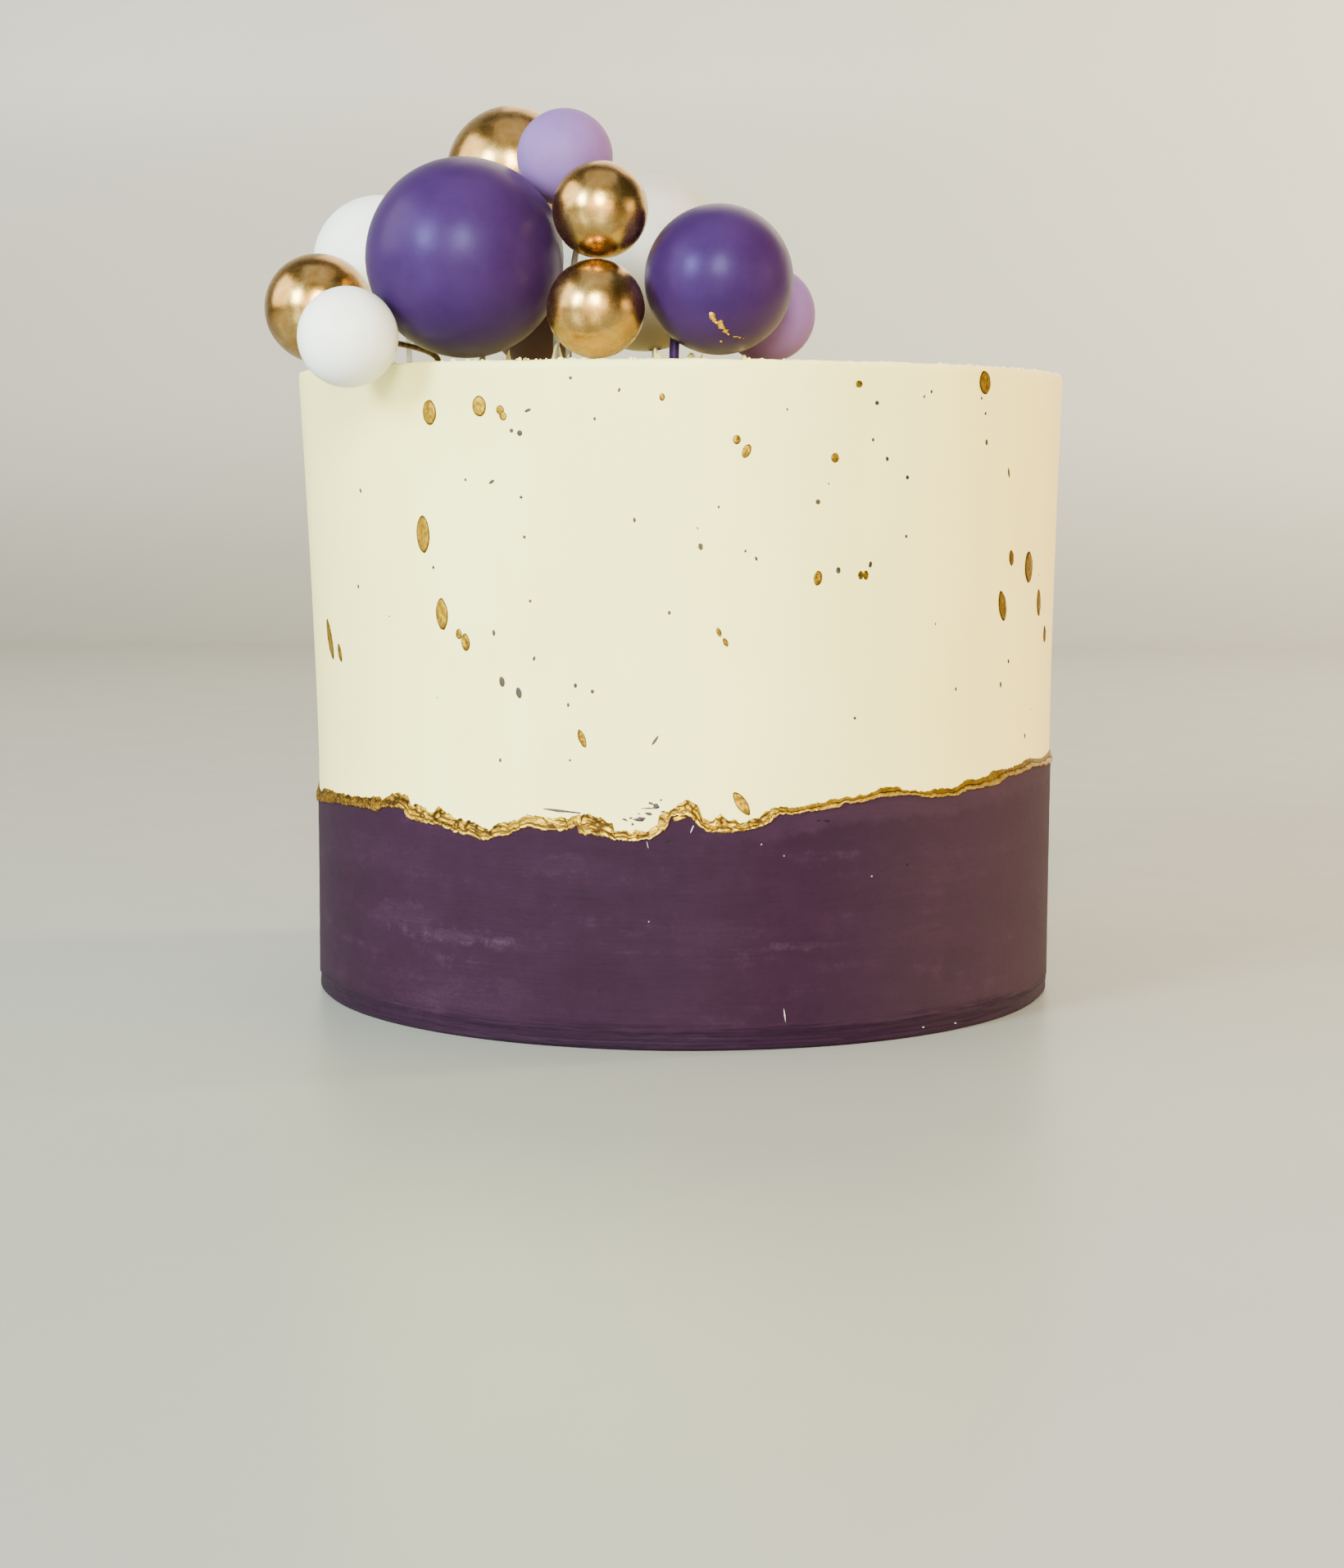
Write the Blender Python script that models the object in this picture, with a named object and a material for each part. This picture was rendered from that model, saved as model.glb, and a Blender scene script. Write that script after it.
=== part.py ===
# Tall round layer cake: a purple coat below, an ivory one above, a torn gold edge between them,
# and a cluster of round topper balls on picks. Metres, +Z up, origin at the centre of the base.
import math
import random

import bmesh
import bpy
from mathutils import Matrix, Vector

MM = 0.001
GAP = 0.3 * MM  # between neighbours that touch in the real cake

CAKE_HEIGHT = 136.6 * MM
PURPLE_RADIUS = 82.7 * MM  # the lower coat, straight up to the torn edge
IVORY_RADIUS = 82.4 * MM  # the upper wall where it starts, just above the torn edge
RIM_RADIUS = 84.9 * MM  # the upper wall flares out to the top rim
FLARE_START = 52 * MM
FLARE_POWER = 1.5
RIM_LEAN = -1.15 * MM  # how far the top rim stands off centre along X
RIM_ROUND = 0.9 * MM
BASE_CHAMFER = 0.6 * MM
WALL_HEIGHTS = (75 * MM, 105 * MM, 125 * MM)  # where the flared wall has its rings
TURN_STEPS = 192

GOLD_DEPTH = 1.6 * MM  # how far the gold edge reaches into the wall
GOLD_PROUD = 0.5 * MM  # how far its lip stands out of the purple coat
GOLD_BEVEL = 0.4 * MM
STEP_RADIUS = IVORY_RADIUS - GOLD_DEPTH - GAP  # the step in both layers that the gold sits in

# The torn edge where it faces forwards: angle from -Y towards +X, then the bottom and the top
# of the gold in mm. Round the back it wanders on between the two ends by a seeded rule.
TORN_EDGE = (
    (-80, 42.0, 44.6),
    (-70, 43.5, 46.3),
    (-52, 44.6, 47.0),
    (-45, 46.0, 48.7),
    (-43, 43.8, 47.0),
    (-38, 43.3, 46.6),
    (-35, 42.4, 45.2),
    (-29, 40.7, 43.3),
    (-22, 44.3, 46.7),
    (-17, 43.8, 46.1),
    (-15, 44.6, 47.5),
    (-13, 43.0, 47.0),
    (-9, 42.3, 44.4),
    (-5, 42.6, 44.8),
    (-3, 44.4, 47.9),
    (0.4, 47.1, 50.8),
    (3.2, 44.2, 46.3),
    (4.9, 43.8, 47.2),
    (9, 44.4, 46.5),
    (12.7, 47.4, 49.0),
    (20, 48.3, 50.1),
    (30, 50.2, 52.2),
    (38, 49.3, 50.9),
    (45, 50.1, 52.3),
    (56, 51.4, 53.4),
    (64, 52.5, 54.6),
    (78, 51.7, 54.2),
)
BACK_STEP = 7  # degrees between the points round the back
BACK_WANDER = 1.7
BACK_WIDTHS = (1.8, 3.1)
EDGE_SEED = 11

# Gold splashes on the ivory wall: angle, height of the middle, width and length in mm, and how
# far the top leans to the left, in degrees.
SPLASHES = (
    (-65.8, 79.3, 2.2, 8.6, 9),
    (-61.7, 76.7, 1.4, 3.8, 6),
    (-38.8, 102.3, 3.0, 7.2, 0),
    (-36.6, 126.5, 2.9, 4.7, 0),
    (-35.9, 86.3, 2.6, 6.1, 2),
    (-31.9, 80.8, 1.7, 3.4, 5),
    (-28.2, 127.6, 2.6, 3.8, 0),
    (-14.3, 62.4, 1.2, 3.6, 20),
    (7.9, 49.9, 1.9, 4.8, 22),
    (7.2, 121.1, 1.3, 1.7, 0),
    (8.5, 118.9, 1.4, 2.7, -25),
    (18.5, 94.2, 1.5, 2.8, -8),
    (20.8, 117.7, 1.4, 1.8, 0),
    (46.6, 133.2, 3.0, 4.4, 12),
    (52.9, 87.6, 2.4, 6.1, 15),
    (55.1, 97.5, 1.5, 3.1, 10),
    (61.2, 95.4, 3.4, 6.2, 6),
    (66.2, 87.6, 2.2, 5.4, 8),
)
BACK_SPLASHES = 12
BACK_FROM, BACK_TO = 84, 276  # the angles between which they lie
SPLASH_SEED = 5
SPLASH_RELIEF = 0.35 * MM

# Topper balls, in mm: name, finish, diameter, centre, then the pick's finish, its diameter and
# where it stands on the cake.
BALLS = (
    ("white_front", "ball_white", 20.0, (-67.0, -72.2, 141.1), "pick_bronze", 1.3, (-52, -40)),
    ("gold_left", "ball_gold", 25.0, (-83.9, 14.1, 152.3), "pick_bronze", 1.3, (-72, 9)),
    ("white_rear_left", "ball_white", 31.4, (-72.7, 39.6, 164.8), "pick_white", 1.3, (-65, 32)),
    ("purple_large", "ball_purple", 40.0, (-44.8, -59.8, 157.6), "pick_white", 1.3, (-42, -50)),
    ("gold_top", "ball_gold", 30.0, (-39.4, 11.4, 182.5), "pick_white", 1.3, (-37, 7)),
    ("lilac_top", "ball_lilac", 19.7, (-25.0, -50.0, 178.7), "pick_white", 1.3, (-27, -46)),
    ("gold_upper", "ball_gold", 19.2, (-17.3, -69.0, 166.3), "pick_white", 1.3, (-24, -57)),
    ("gold_lower", "ball_gold", 19.6, (-18.1, -72.0, 146.8), "pick_white", 1.3, (-19, -63)),
    ("purple_shaded", "ball_purple", 20.0, (-32.0, -27.0, 147.2), "pick_white", 1.3, (-30, -21)),
    ("white_large", "ball_white", 40.0, (-9.4, 11.2, 162.6), "pick_white", 1.3, (-7, 8)),
    ("purple_right", "ball_purple", 30.0, (6.3, -63.8, 153.2), "ball_purple", 2.0, (-2.6, -61)),
    ("lilac_right", "ball_lilac", 20.0, (16.9, -40.8, 147.8), "pick_white", 1.3, (15, -35)),
)
BALL_SEGMENTS = ((35, 24), (24, 20), (0, 16))  # from this diameter up in mm, this many segments
PICK_RISE = 1.0 * MM  # how far a pick stands upright before it bends to its ball
PICK_PITCH = 5 * MM  # the length of pick between its points

FINISHES = {  # colour, roughness, metallic
    "icing_ivory": ((0.83, 0.80, 0.68), 0.55, 0.0),
    "icing_purple": ((0.085, 0.045, 0.085), 0.7, 0.0),
    "gold_paint": ((0.62, 0.42, 0.12), 0.38, 0.9),
    "ball_white": ((0.80, 0.80, 0.78), 0.35, 0.0),
    "ball_gold": ((0.60, 0.40, 0.16), 0.22, 1.0),
    "ball_purple": ((0.13, 0.08, 0.27), 0.35, 0.0),
    "ball_lilac": ((0.45, 0.37, 0.64), 0.4, 0.0),
    "pick_white": ((0.55, 0.55, 0.53), 0.5, 0.0),
    "pick_bronze": ((0.25, 0.15, 0.06), 0.35, 0.8),
}


def clear_scene():
    for thing in list(bpy.data.objects):
        bpy.data.objects.remove(thing, do_unlink=True)


def finish(name):
    material = bpy.data.materials.get(name)
    if material is None:
        colour, roughness, metallic = FINISHES[name]
        material = bpy.data.materials.new(name)
        material.use_nodes = True
        shader = material.node_tree.nodes["Principled BSDF"]
        shader.inputs["Base Color"].default_value = (*colour, 1.0)
        shader.inputs["Roughness"].default_value = roughness
        shader.inputs["Metallic"].default_value = metallic
    return material


def add_object(name, data, finish_name, collection):
    data.materials.append(finish(finish_name))
    thing = bpy.data.objects.new(name, data)
    collection.objects.link(thing)
    return thing


def mesh_from(bm, name):
    mesh = bpy.data.meshes.new(name)
    bm.to_mesh(mesh)
    bm.free()
    mesh.shade_smooth()
    mesh.set_sharp_from_angle(angle=math.radians(40))
    return mesh


def rise_share(height):
    """How far up the flared wall a height is, from 0 where it starts to 1 at the rim."""
    return max(0.0, height - FLARE_START) / (CAKE_HEIGHT - FLARE_START)


def wall_radius(height):
    return IVORY_RADIUS + (RIM_RADIUS - IVORY_RADIUS) * rise_share(height) ** FLARE_POWER


def wall_point(angle, height, radius):
    """The point at an angle in degrees from -Y towards +X. The upper wall leans a little."""
    turn = math.radians(angle)
    x = RIM_LEAN * rise_share(height) + radius * math.sin(turn)
    return Vector((x, -radius * math.cos(turn), height))


def whole_edge():
    """The torn edge all the way round, as (angle, bottom, top) in metres."""
    draw = random.Random(EDGE_SEED)
    first, last = TORN_EDGE[0], TORN_EDGE[-1]
    span = first[0] + 360 - last[0]
    points = list(TORN_EDGE)
    for step in range(1, int(span / BACK_STEP)):
        share = step * BACK_STEP / span
        bottom = last[1] + (first[1] - last[1]) * share + draw.uniform(-BACK_WANDER, BACK_WANDER)
        points.append((last[0] + step * BACK_STEP, bottom, bottom + draw.uniform(*BACK_WIDTHS)))
    points.append((first[0] + 360, first[1], first[2]))
    return [(angle, bottom * MM, top * MM) for angle, bottom, top in points]


def edge_at(points, angle):
    """The gold edge's bottom and top at an angle, read off the points in a straight line."""
    angle = (angle - points[0][0]) % 360 + points[0][0]
    for before, after in zip(points, points[1:]):
        if before[0] <= angle <= after[0]:
            share = (angle - before[0]) / (after[0] - before[0])
            return [a + (b - a) * share for a, b in zip(before[1:], after[1:])]
    raise ValueError(angle)


def turned(name, rows, closed=False):
    """A turned solid. Each row is a function that gives its radius and height at an angle."""
    # A plain stack of rings is turned first, and then each ring is moved into its place.
    pitch = 10 * MM
    bm = bmesh.new()
    stack = []
    for index, row in enumerate(rows):
        on_axis = row(0)[0] == 0
        stack.append(bm.verts.new((0, 0 if on_axis else -PURPLE_RADIUS, index * pitch)))
    for first, second in zip(stack, stack[1:]):
        bm.edges.new((first, second))
    if closed:
        bm.edges.new((stack[-1], stack[0]))
    bmesh.ops.spin(
        bm,
        geom=bm.verts[:] + bm.edges[:],
        cent=(0, 0, 0),
        axis=(0, 0, 1),
        angle=math.tau,
        steps=TURN_STEPS,
        use_merge=True,
    )
    bmesh.ops.remove_doubles(bm, verts=bm.verts[:], dist=0.001 * MM)
    for vert in bm.verts:
        angle = math.degrees(math.atan2(vert.co.x, -vert.co.y))
        radius, height = rows[round(vert.co.z / pitch)](angle)
        vert.co = wall_point(angle, height, radius)
    bmesh.ops.recalc_face_normals(bm, faces=bm.faces[:])
    return mesh_from(bm, name)


def purple_layer(edge, core, collection):
    """The lower cake in its purple coat, up to the torn edge, with a step for the gold."""
    rows = (
        lambda angle: (0, 0),
        lambda angle: (PURPLE_RADIUS - BASE_CHAMFER, 0),
        lambda angle: (PURPLE_RADIUS, BASE_CHAMFER),
        lambda angle: (PURPLE_RADIUS, edge_at(edge, angle)[0]),
        lambda angle: (STEP_RADIUS, edge_at(edge, angle)[0]),
        lambda angle: (STEP_RADIUS, sum(edge_at(edge, angle)) / 2 - GAP / 2),
        lambda angle: (0, core - GAP / 2),
    )
    add_object("purple_layer", turned("purple_layer", rows), "icing_purple", collection)


def ivory_layer(edge, core, collection):
    """The upper cake in its ivory coat, with the flared wall, the rim and the splashes."""
    rim_start = CAKE_HEIGHT - RIM_ROUND
    rim_radius = wall_radius(rim_start)
    inset = RIM_ROUND * (1 - math.sqrt(0.5))
    rows = [
        lambda angle: (0, core + GAP / 2),
        lambda angle: (STEP_RADIUS, sum(edge_at(edge, angle)) / 2 + GAP / 2),
        lambda angle: (STEP_RADIUS, edge_at(edge, angle)[1]),
        lambda angle: (wall_radius(edge_at(edge, angle)[1]), edge_at(edge, angle)[1]),
    ]
    for height in (*WALL_HEIGHTS, rim_start):
        rows.append(lambda angle, level=height: (wall_radius(level), level))
    rows += [
        lambda angle: (rim_radius - inset, CAKE_HEIGHT - inset),
        lambda angle: (rim_radius - RIM_ROUND, CAKE_HEIGHT),
        lambda angle: (0, CAKE_HEIGHT),
    ]
    layer = add_object("ivory_layer", turned("ivory_layer", rows), "icing_ivory", collection)
    fuse(layer, splash_meshes())


def gold_edge(edge, collection):
    """The gilded lip that fills the step between the two coats."""
    inner = IVORY_RADIUS - GOLD_DEPTH
    outer = PURPLE_RADIUS + GOLD_PROUD
    rows = (
        lambda angle: (inner, edge_at(edge, angle)[0] + GAP),
        lambda angle: (outer - GOLD_BEVEL, edge_at(edge, angle)[0] + GAP),
        lambda angle: (outer, sum(edge_at(edge, angle)) / 2),
        lambda angle: (outer - GOLD_BEVEL, edge_at(edge, angle)[1] - GAP),
        lambda angle: (inner, edge_at(edge, angle)[1] - GAP),
    )
    add_object("gold_edge", turned("gold_edge", rows, closed=True), "gold_paint", collection)


def all_splashes():
    """The listed splashes, then a seeded scatter of like ones round the back."""
    draw = random.Random(SPLASH_SEED)
    found = list(SPLASHES)
    pitch = (BACK_TO - BACK_FROM) / BACK_SPLASHES
    for step in range(BACK_SPLASHES):
        angle = BACK_FROM + (step + draw.uniform(0.1, 0.9)) * pitch
        width = draw.uniform(1.3, 2.9)
        length = width * draw.uniform(1.3, 2.4)
        found.append((angle, draw.uniform(60, 128), width, length, draw.uniform(-15, 20)))
    return found


def splash_meshes():
    """A low dome for each splash, set half into the wall so that only its top stands out."""
    half_height = 2 * SPLASH_RELIEF
    widen = 1 / math.sqrt(0.75)  # the wall cuts the dome at half of its height
    meshes = []
    for angle, height, width, length, lean in all_splashes():
        place = wall_point(angle, height * MM, wall_radius(height * MM) - SPLASH_RELIEF)
        outwards = Vector((math.sin(math.radians(angle)), -math.cos(math.radians(angle)), 0))
        size = (width * MM / 2 * widen, length * MM / 2 * widen, half_height)
        matrix = (
            Matrix.Translation(place)
            @ outwards.to_track_quat("Z", "Y").to_matrix().to_4x4()
            @ Matrix.Rotation(math.radians(lean), 4, "Z")
            @ Matrix.Diagonal((*size, 1))
        )
        bm = bmesh.new()
        bmesh.ops.create_uvsphere(bm, u_segments=8, v_segments=4, radius=1, matrix=matrix)
        meshes.append(mesh_from(bm, "splash"))
    return meshes


def fuse(base, meshes):
    """Joins the meshes to the base by one Boolean union, which is applied."""
    extras = bpy.data.collections.new("splashes")
    bpy.context.scene.collection.children.link(extras)
    for mesh in meshes:
        extras.objects.link(bpy.data.objects.new("splash", mesh))
    union = base.modifiers.new("splashes", "BOOLEAN")
    union.operation = "UNION"
    union.operand_type = "COLLECTION"
    union.collection = extras
    graph = bpy.context.evaluated_depsgraph_get()
    joined = bpy.data.meshes.new_from_object(base.evaluated_get(graph))
    base.modifiers.clear()
    base.data = joined
    for thing in list(extras.objects):
        bpy.data.objects.remove(thing, do_unlink=True)
    bpy.data.collections.remove(extras)


def ball(name, finish_name, diameter, centre, collection):
    segments = next(count for least, count in BALL_SEGMENTS if diameter >= least)
    bm = bmesh.new()
    bmesh.ops.create_uvsphere(
        bm, u_segments=segments, v_segments=segments // 2, radius=diameter * MM / 2
    )
    thing = add_object(f"ball_{name}", mesh_from(bm, name), finish_name, collection)
    thing.location = Vector(centre) * MM


def pick(name, finish_name, thickness, foot, ball_diameter, ball_centre, collection):
    """A pick that stands upright in the icing and bends to its ball."""
    end = Vector(ball_centre) * MM
    base = Vector((foot[0] * MM, foot[1] * MM, CAKE_HEIGHT + GAP))
    knee = base + Vector((0, 0, PICK_RISE))
    bend = Vector((base.x, base.y, end.z))
    reach = ball_diameter * MM / 2 + GAP

    def path(share):
        return knee * (1 - share) ** 2 + bend * 2 * share * (1 - share) + end * share**2

    def clear(share):
        """True while the pick's end, with its slanting rim, is clear of the ball."""
        to_ball = end - path(share)
        heading = (bend - knee) * (1 - share) + (end - bend) * share
        return to_ball.length - thickness * MM / 2 * math.sin(heading.angle(to_ball)) > reach

    low, high = 0.0, 1.0  # halved until the path meets the ball
    for _ in range(30):
        middle = (low + high) / 2
        low, high = (middle, high) if clear(middle) else (low, middle)
    steps = max(2, round((path(low) - knee).length / PICK_PITCH))
    points = [base] + [path(low * step / steps) for step in range(steps + 1)]

    curve = bpy.data.curves.new(f"pick_{name}", "CURVE")
    curve.dimensions = "3D"
    curve.bevel_depth = thickness * MM / 2
    curve.bevel_resolution = 1
    curve.use_fill_caps = True
    spline = curve.splines.new("POLY")
    spline.points.add(len(points) - 1)
    for point, place in zip(spline.points, points):
        point.co = (*place, 1)
    add_object(f"pick_{name}", curve, finish_name, collection)


def main():
    clear_scene()
    cake = bpy.data.collections.new("layer_cake")
    bpy.context.scene.collection.children.link(cake)
    edge = whole_edge()
    core = sum(sum(edge_at(edge, angle)) / 2 for angle in range(360)) / 360
    purple_layer(edge, core, cake)
    ivory_layer(edge, core, cake)
    gold_edge(edge, cake)
    for name, ball_finish, diameter, centre, pick_finish, thickness, foot in BALLS:
        ball(name, ball_finish, diameter, centre, cake)
        pick(name, pick_finish, thickness, foot, diameter, centre, cake)


main()
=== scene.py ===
import math
import random

import bpy
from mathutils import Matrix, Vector, noise


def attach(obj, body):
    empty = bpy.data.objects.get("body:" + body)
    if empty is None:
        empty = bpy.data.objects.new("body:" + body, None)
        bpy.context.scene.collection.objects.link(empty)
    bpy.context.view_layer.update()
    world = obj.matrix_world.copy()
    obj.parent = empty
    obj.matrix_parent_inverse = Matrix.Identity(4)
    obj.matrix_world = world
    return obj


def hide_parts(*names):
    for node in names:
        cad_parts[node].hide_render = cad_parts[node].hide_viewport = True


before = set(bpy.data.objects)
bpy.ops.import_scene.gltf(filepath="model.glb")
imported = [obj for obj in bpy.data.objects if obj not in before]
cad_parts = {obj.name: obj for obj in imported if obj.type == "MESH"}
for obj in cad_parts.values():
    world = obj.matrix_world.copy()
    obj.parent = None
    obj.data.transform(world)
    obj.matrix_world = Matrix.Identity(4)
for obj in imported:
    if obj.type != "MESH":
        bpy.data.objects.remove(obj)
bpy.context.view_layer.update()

mm = 0.001
bpy.ops.object.select_all(action="DESELECT")

# The photograph's viewpoint. Nothing here uses the image size: it only frames 1640 x 1914.
view = {
    "place": (-0.0027, -0.6062, 0.1119),
    "pitch": 6.34,  # degrees below the horizon
    "roll": 0.0037,
    "lens": 61.36,
    "sensor": 36,
}
bpy.ops.object.camera_add(location=view["place"])
camera = bpy.context.object
camera.data.lens = view["lens"]
camera.data.sensor_width = view["sensor"]
camera.data.clip_end = 20
camera.rotation_euler = (math.radians(90 - view["pitch"]), 0, 0)
camera.rotation_euler.rotate_axis("Z", view["roll"])
bpy.context.scene.camera = camera
print("camera is set")


# Node maths, written as plain sums of what the nodes give.
class Wire:
    def __init__(self, finish, socket):
        self.finish = finish
        self.socket = socket

    def maths(self, operation, first, second):
        settings = {"operation": operation}
        return self.finish.node("Math", settings, {0: first, 1: second})

    def __add__(self, other):
        return self.maths("ADD", self, other)

    def __radd__(self, other):
        return self.maths("ADD", other, self)

    def __sub__(self, other):
        return self.maths("SUBTRACT", self, other)

    def __rsub__(self, other):
        return self.maths("SUBTRACT", other, self)

    def __mul__(self, other):
        return self.maths("MULTIPLY", self, other)


class Finish:
    def __init__(self, name, constants):
        self.material = bpy.data.materials.new(name)
        self.material.use_nodes = True
        self.tree = self.material.node_tree
        self.shader = self.tree.nodes["Principled BSDF"]
        for socket, value in constants.items():
            self.shader.inputs[socket].default_value = value
        self.place = self.node("TexCoord", output="Object")

    def node(self, kind, settings=None, sockets=None, output=0):
        made = self.tree.nodes.new("ShaderNode" + kind)
        for setting, value in (settings or {}).items():
            if setting == "stops":
                self.setStops(made.color_ramp, value)
            else:
                setattr(made, setting, value)
        for socket, value in (sockets or {}).items():
            self.feed(made.inputs[socket], value)
        return Wire(self, made.outputs[output])

    def setStops(self, ramp, stops):
        while len(ramp.elements) < len(stops):
            ramp.elements.new(1)
        for element, (where, colour) in zip(ramp.elements, stops):
            element.position = where
            element.color = (*colour, 1)

    def feed(self, socket, value):
        if isinstance(value, Wire):
            self.tree.links.new(value.socket, socket)
        else:
            socket.default_value = value

    def shade(self, wires):
        for socket, value in wires.items():
            self.feed(self.shader.inputs[socket], value)
        return self.material

    def stretched(self, amounts):  # the place on the cake, squeezed or drawn out by axis
        return self.node("Mapping", {}, {"Vector": self.place, "Scale": amounts})

    def cloud(self, size, detail=2, rough=0.5, place=None, warp=0):  # size of a patch in mm
        return self.node("TexNoise", {}, {
            "Vector": place or self.place, "Scale": 1000 / size,
            "Detail": detail, "Roughness": rough, "Distortion": warp})

    def cells(self, size):
        return self.node("TexVoronoi", {}, {"Vector": self.place, "Scale": 1000 / size}, "Distance")

    def span(self, value, low, high):  # 0 at low, 1 at high, held at the ends
        return self.node("MapRange", {"interpolation_type": "SMOOTHSTEP"}, {
            "Value": value, "From Min": low, "From Max": high})

    def ramp(self, value, stops):
        return self.node("ValToRGB", {"stops": stops}, {"Fac": value})

    def mix(self, share, first, second):
        first, second = [(*c, 1) if isinstance(c, tuple) else c for c in (first, second)]
        return self.node("Mix", {"data_type": "RGBA"}, {0: share, 6: first, 7: second}, 2)

    def bump(self, height, depth, normal=None):  # depth in mm
        sockets = {"Height": height, "Distance": depth * mm, "Strength": 1.0}
        if normal:
            sockets["Normal"] = normal
        return self.node("Bump", {}, sockets)

    def attribute(self, name):
        return self.node("Attribute", {"attribute_name": name}, {}, "Fac")

    def axis(self, name):
        return self.node("SeparateXYZ", {}, {0: self.place}, name)

    def spot(self, centre, size, torn):  # 1 inside a level patch on the front, 0 outside it
        across = (self.axis("X") - centre[0] * mm) * (1 / (size[0] * mm))
        up = (self.axis("Z") - centre[1] * mm) * (1 / (size[1] * mm))
        front = self.span(self.axis("Y"), 0.0, -0.02)
        return self.span(across * across + up * up + torn, 1.4, 0.0) * front


# The shape of the walls, as the solids have it.
cake = {
    "height": 136.6 * mm,
    "purpleRadius": 82.7 * mm,
    "ivoryRadius": 82.4 * mm,  # where the upper wall starts
    "rimRadius": 84.9 * mm,
    "flareStart": 52 * mm,
    "flarePower": 1.5,
    "rimMargin": 0.06 * mm,  # what the ragged rim keeps free inside its radius
    "rimLean": -1.15 * mm,
    "steps": 720,  # round the cake
}


def riseShare(height):
    return max(0.0, height - cake["flareStart"]) / (cake["height"] - cake["flareStart"])


def wallRadius(height):
    flare = cake["rimRadius"] - cake["ivoryRadius"]
    return cake["ivoryRadius"] + flare * riseShare(height) ** cake["flarePower"]


def onWall(angle, height, proud=0.0):  # degrees from -Y towards +X
    turn = math.radians(angle)
    radius = wallRadius(height) + proud
    lean = cake["rimLean"] * riseShare(height)
    return Vector((lean + radius * math.sin(turn), -radius * math.cos(turn), height))


def angleOf(point):
    return math.degrees(math.atan2(point.x, -point.y))


def towards(turn, rise):  # a direction, from -Y towards +X and up, in radians
    return Vector((math.sin(turn) * math.cos(rise), -math.cos(turn) * math.cos(rise), math.sin(rise)))


def ease(low, high, value):
    share = min(1.0, max(0.0, (value - low) / (high - low)))
    return share * share * (3 - 2 * share)


def rough(point, size, seed=0.0):  # smooth noise from about -1 to 1, size in mm
    return noise.noise(point / (size * mm) + Vector((seed, 1.7 * seed, -seed)))


# The torn edge. Its two borders are given where it faces forwards, as angle and height in mm.
edge = {
    "lower": (
        (-79.6, 42.1), (-66.7, 43.8), (-57.6, 44.5), (-51.0, 44.6), (-47.0, 46.0), (-45.3, 46.0),
        (-43.6, 43.9), (-41.7, 43.5), (-39.7, 43.2), (-37.0, 43.3), (-34.7, 42.1), (-31.9, 41.6),
        (-29.3, 40.7), (-27.3, 41.8), (-25.4, 42.2), (-23.8, 43.5), (-21.7, 44.4), (-20.1, 43.7),
        (-17.2, 43.8), (-15.1, 45.0), (-14.7, 43.1), (-12.1, 42.9), (-10.6, 42.6), (-8.2, 42.1),
        (-4.8, 42.6), (-2.7, 44.5), (-1.9, 47.4), (-0.2, 47.2), (0.8, 46.9), (1.6, 45.5),
        (3.0, 44.2), (4.8, 43.8), (8.9, 44.3), (11.3, 45.5), (12.9, 47.5), (15.6, 47.4),
        (18.4, 48.0), (21.5, 48.4), (22.5, 49.2), (25.0, 49.2), (27.3, 49.9), (32.3, 50.3),
        (35.4, 49.7), (36.6, 49.3), (42.0, 49.2), (44.1, 50.0), (52.1, 50.3), (54.4, 51.7),
        (58.7, 51.7), (63.3, 52.5), (76.6, 51.7)),
    "upper": (
        (-76.2, 44.7), (-72.4, 46.3), (-65.7, 46.3), (-56.1, 46.8), (-50.2, 47.1), (-46.4, 48.5),
        (-43.8, 48.8), (-43.1, 46.8), (-40.6, 45.8), (-38.8, 45.5), (-37.6, 46.9), (-35.9, 45.5),
        (-33.1, 44.8), (-31.1, 44.5), (-28.7, 43.2), (-27.0, 44.7), (-24.5, 45.4), (-22.7, 46.7),
        (-19.9, 46.4), (-16.2, 46.1), (-14.8, 47.6), (-11.9, 46.8), (-10.1, 45.9), (-9.8, 44.3),
        (-7.6, 44.2), (-5.3, 44.6), (-3.8, 45.8), (-3.6, 47.7), (-1.8, 48.7), (0.4, 50.8),
        (1.6, 49.7), (2.2, 47.7), (3.3, 46.1), (4.8, 47.2), (5.7, 45.8), (8.2, 46.0),
        (9.7, 46.8), (12.3, 49.0), (14.8, 48.9), (18.9, 49.7), (21.2, 50.4), (25.8, 50.8),
        (29.5, 52.2), (31.1, 52.2), (32.3, 51.3), (36.0, 50.7), (38.8, 51.1), (42.0, 50.7),
        (44.5, 52.2), (48.8, 52.2), (51.6, 53.4), (57.6, 53.4), (63.3, 54.6), (70.1, 53.6),
        (74.3, 54.1)),
    "front": ((-80, 42.0, 44.6), (78, 51.7, 54.2)),  # where the front hands over to the back
    "backStep": 7,
    "backWander": 1.7,
    "backWidths": (1.8, 3.1),
    "backSeed": 11,
    "rows": 30,  # across the band
    "steps": 2600,  # round the cake
    "tuckedIn": 1.4 * mm,  # how far its inner side lies behind the upper wall
}


def backOfEdge():  # the same seeded wander as the solids have round the back
    draw = random.Random(edge["backSeed"])
    first, last = edge["front"]
    span = first[0] + 360 - last[0]
    lower, upper = [(last[0], last[1])], [(last[0], last[2])]
    for step in range(1, int(span / edge["backStep"])):
        share = step * edge["backStep"] / span
        bottom = last[1] + (first[1] - last[1]) * share
        bottom += draw.uniform(-edge["backWander"], edge["backWander"])
        lower.append((last[0] + step * edge["backStep"], bottom))
        upper.append((lower[-1][0], bottom + draw.uniform(*edge["backWidths"])))
    return lower, upper


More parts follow.
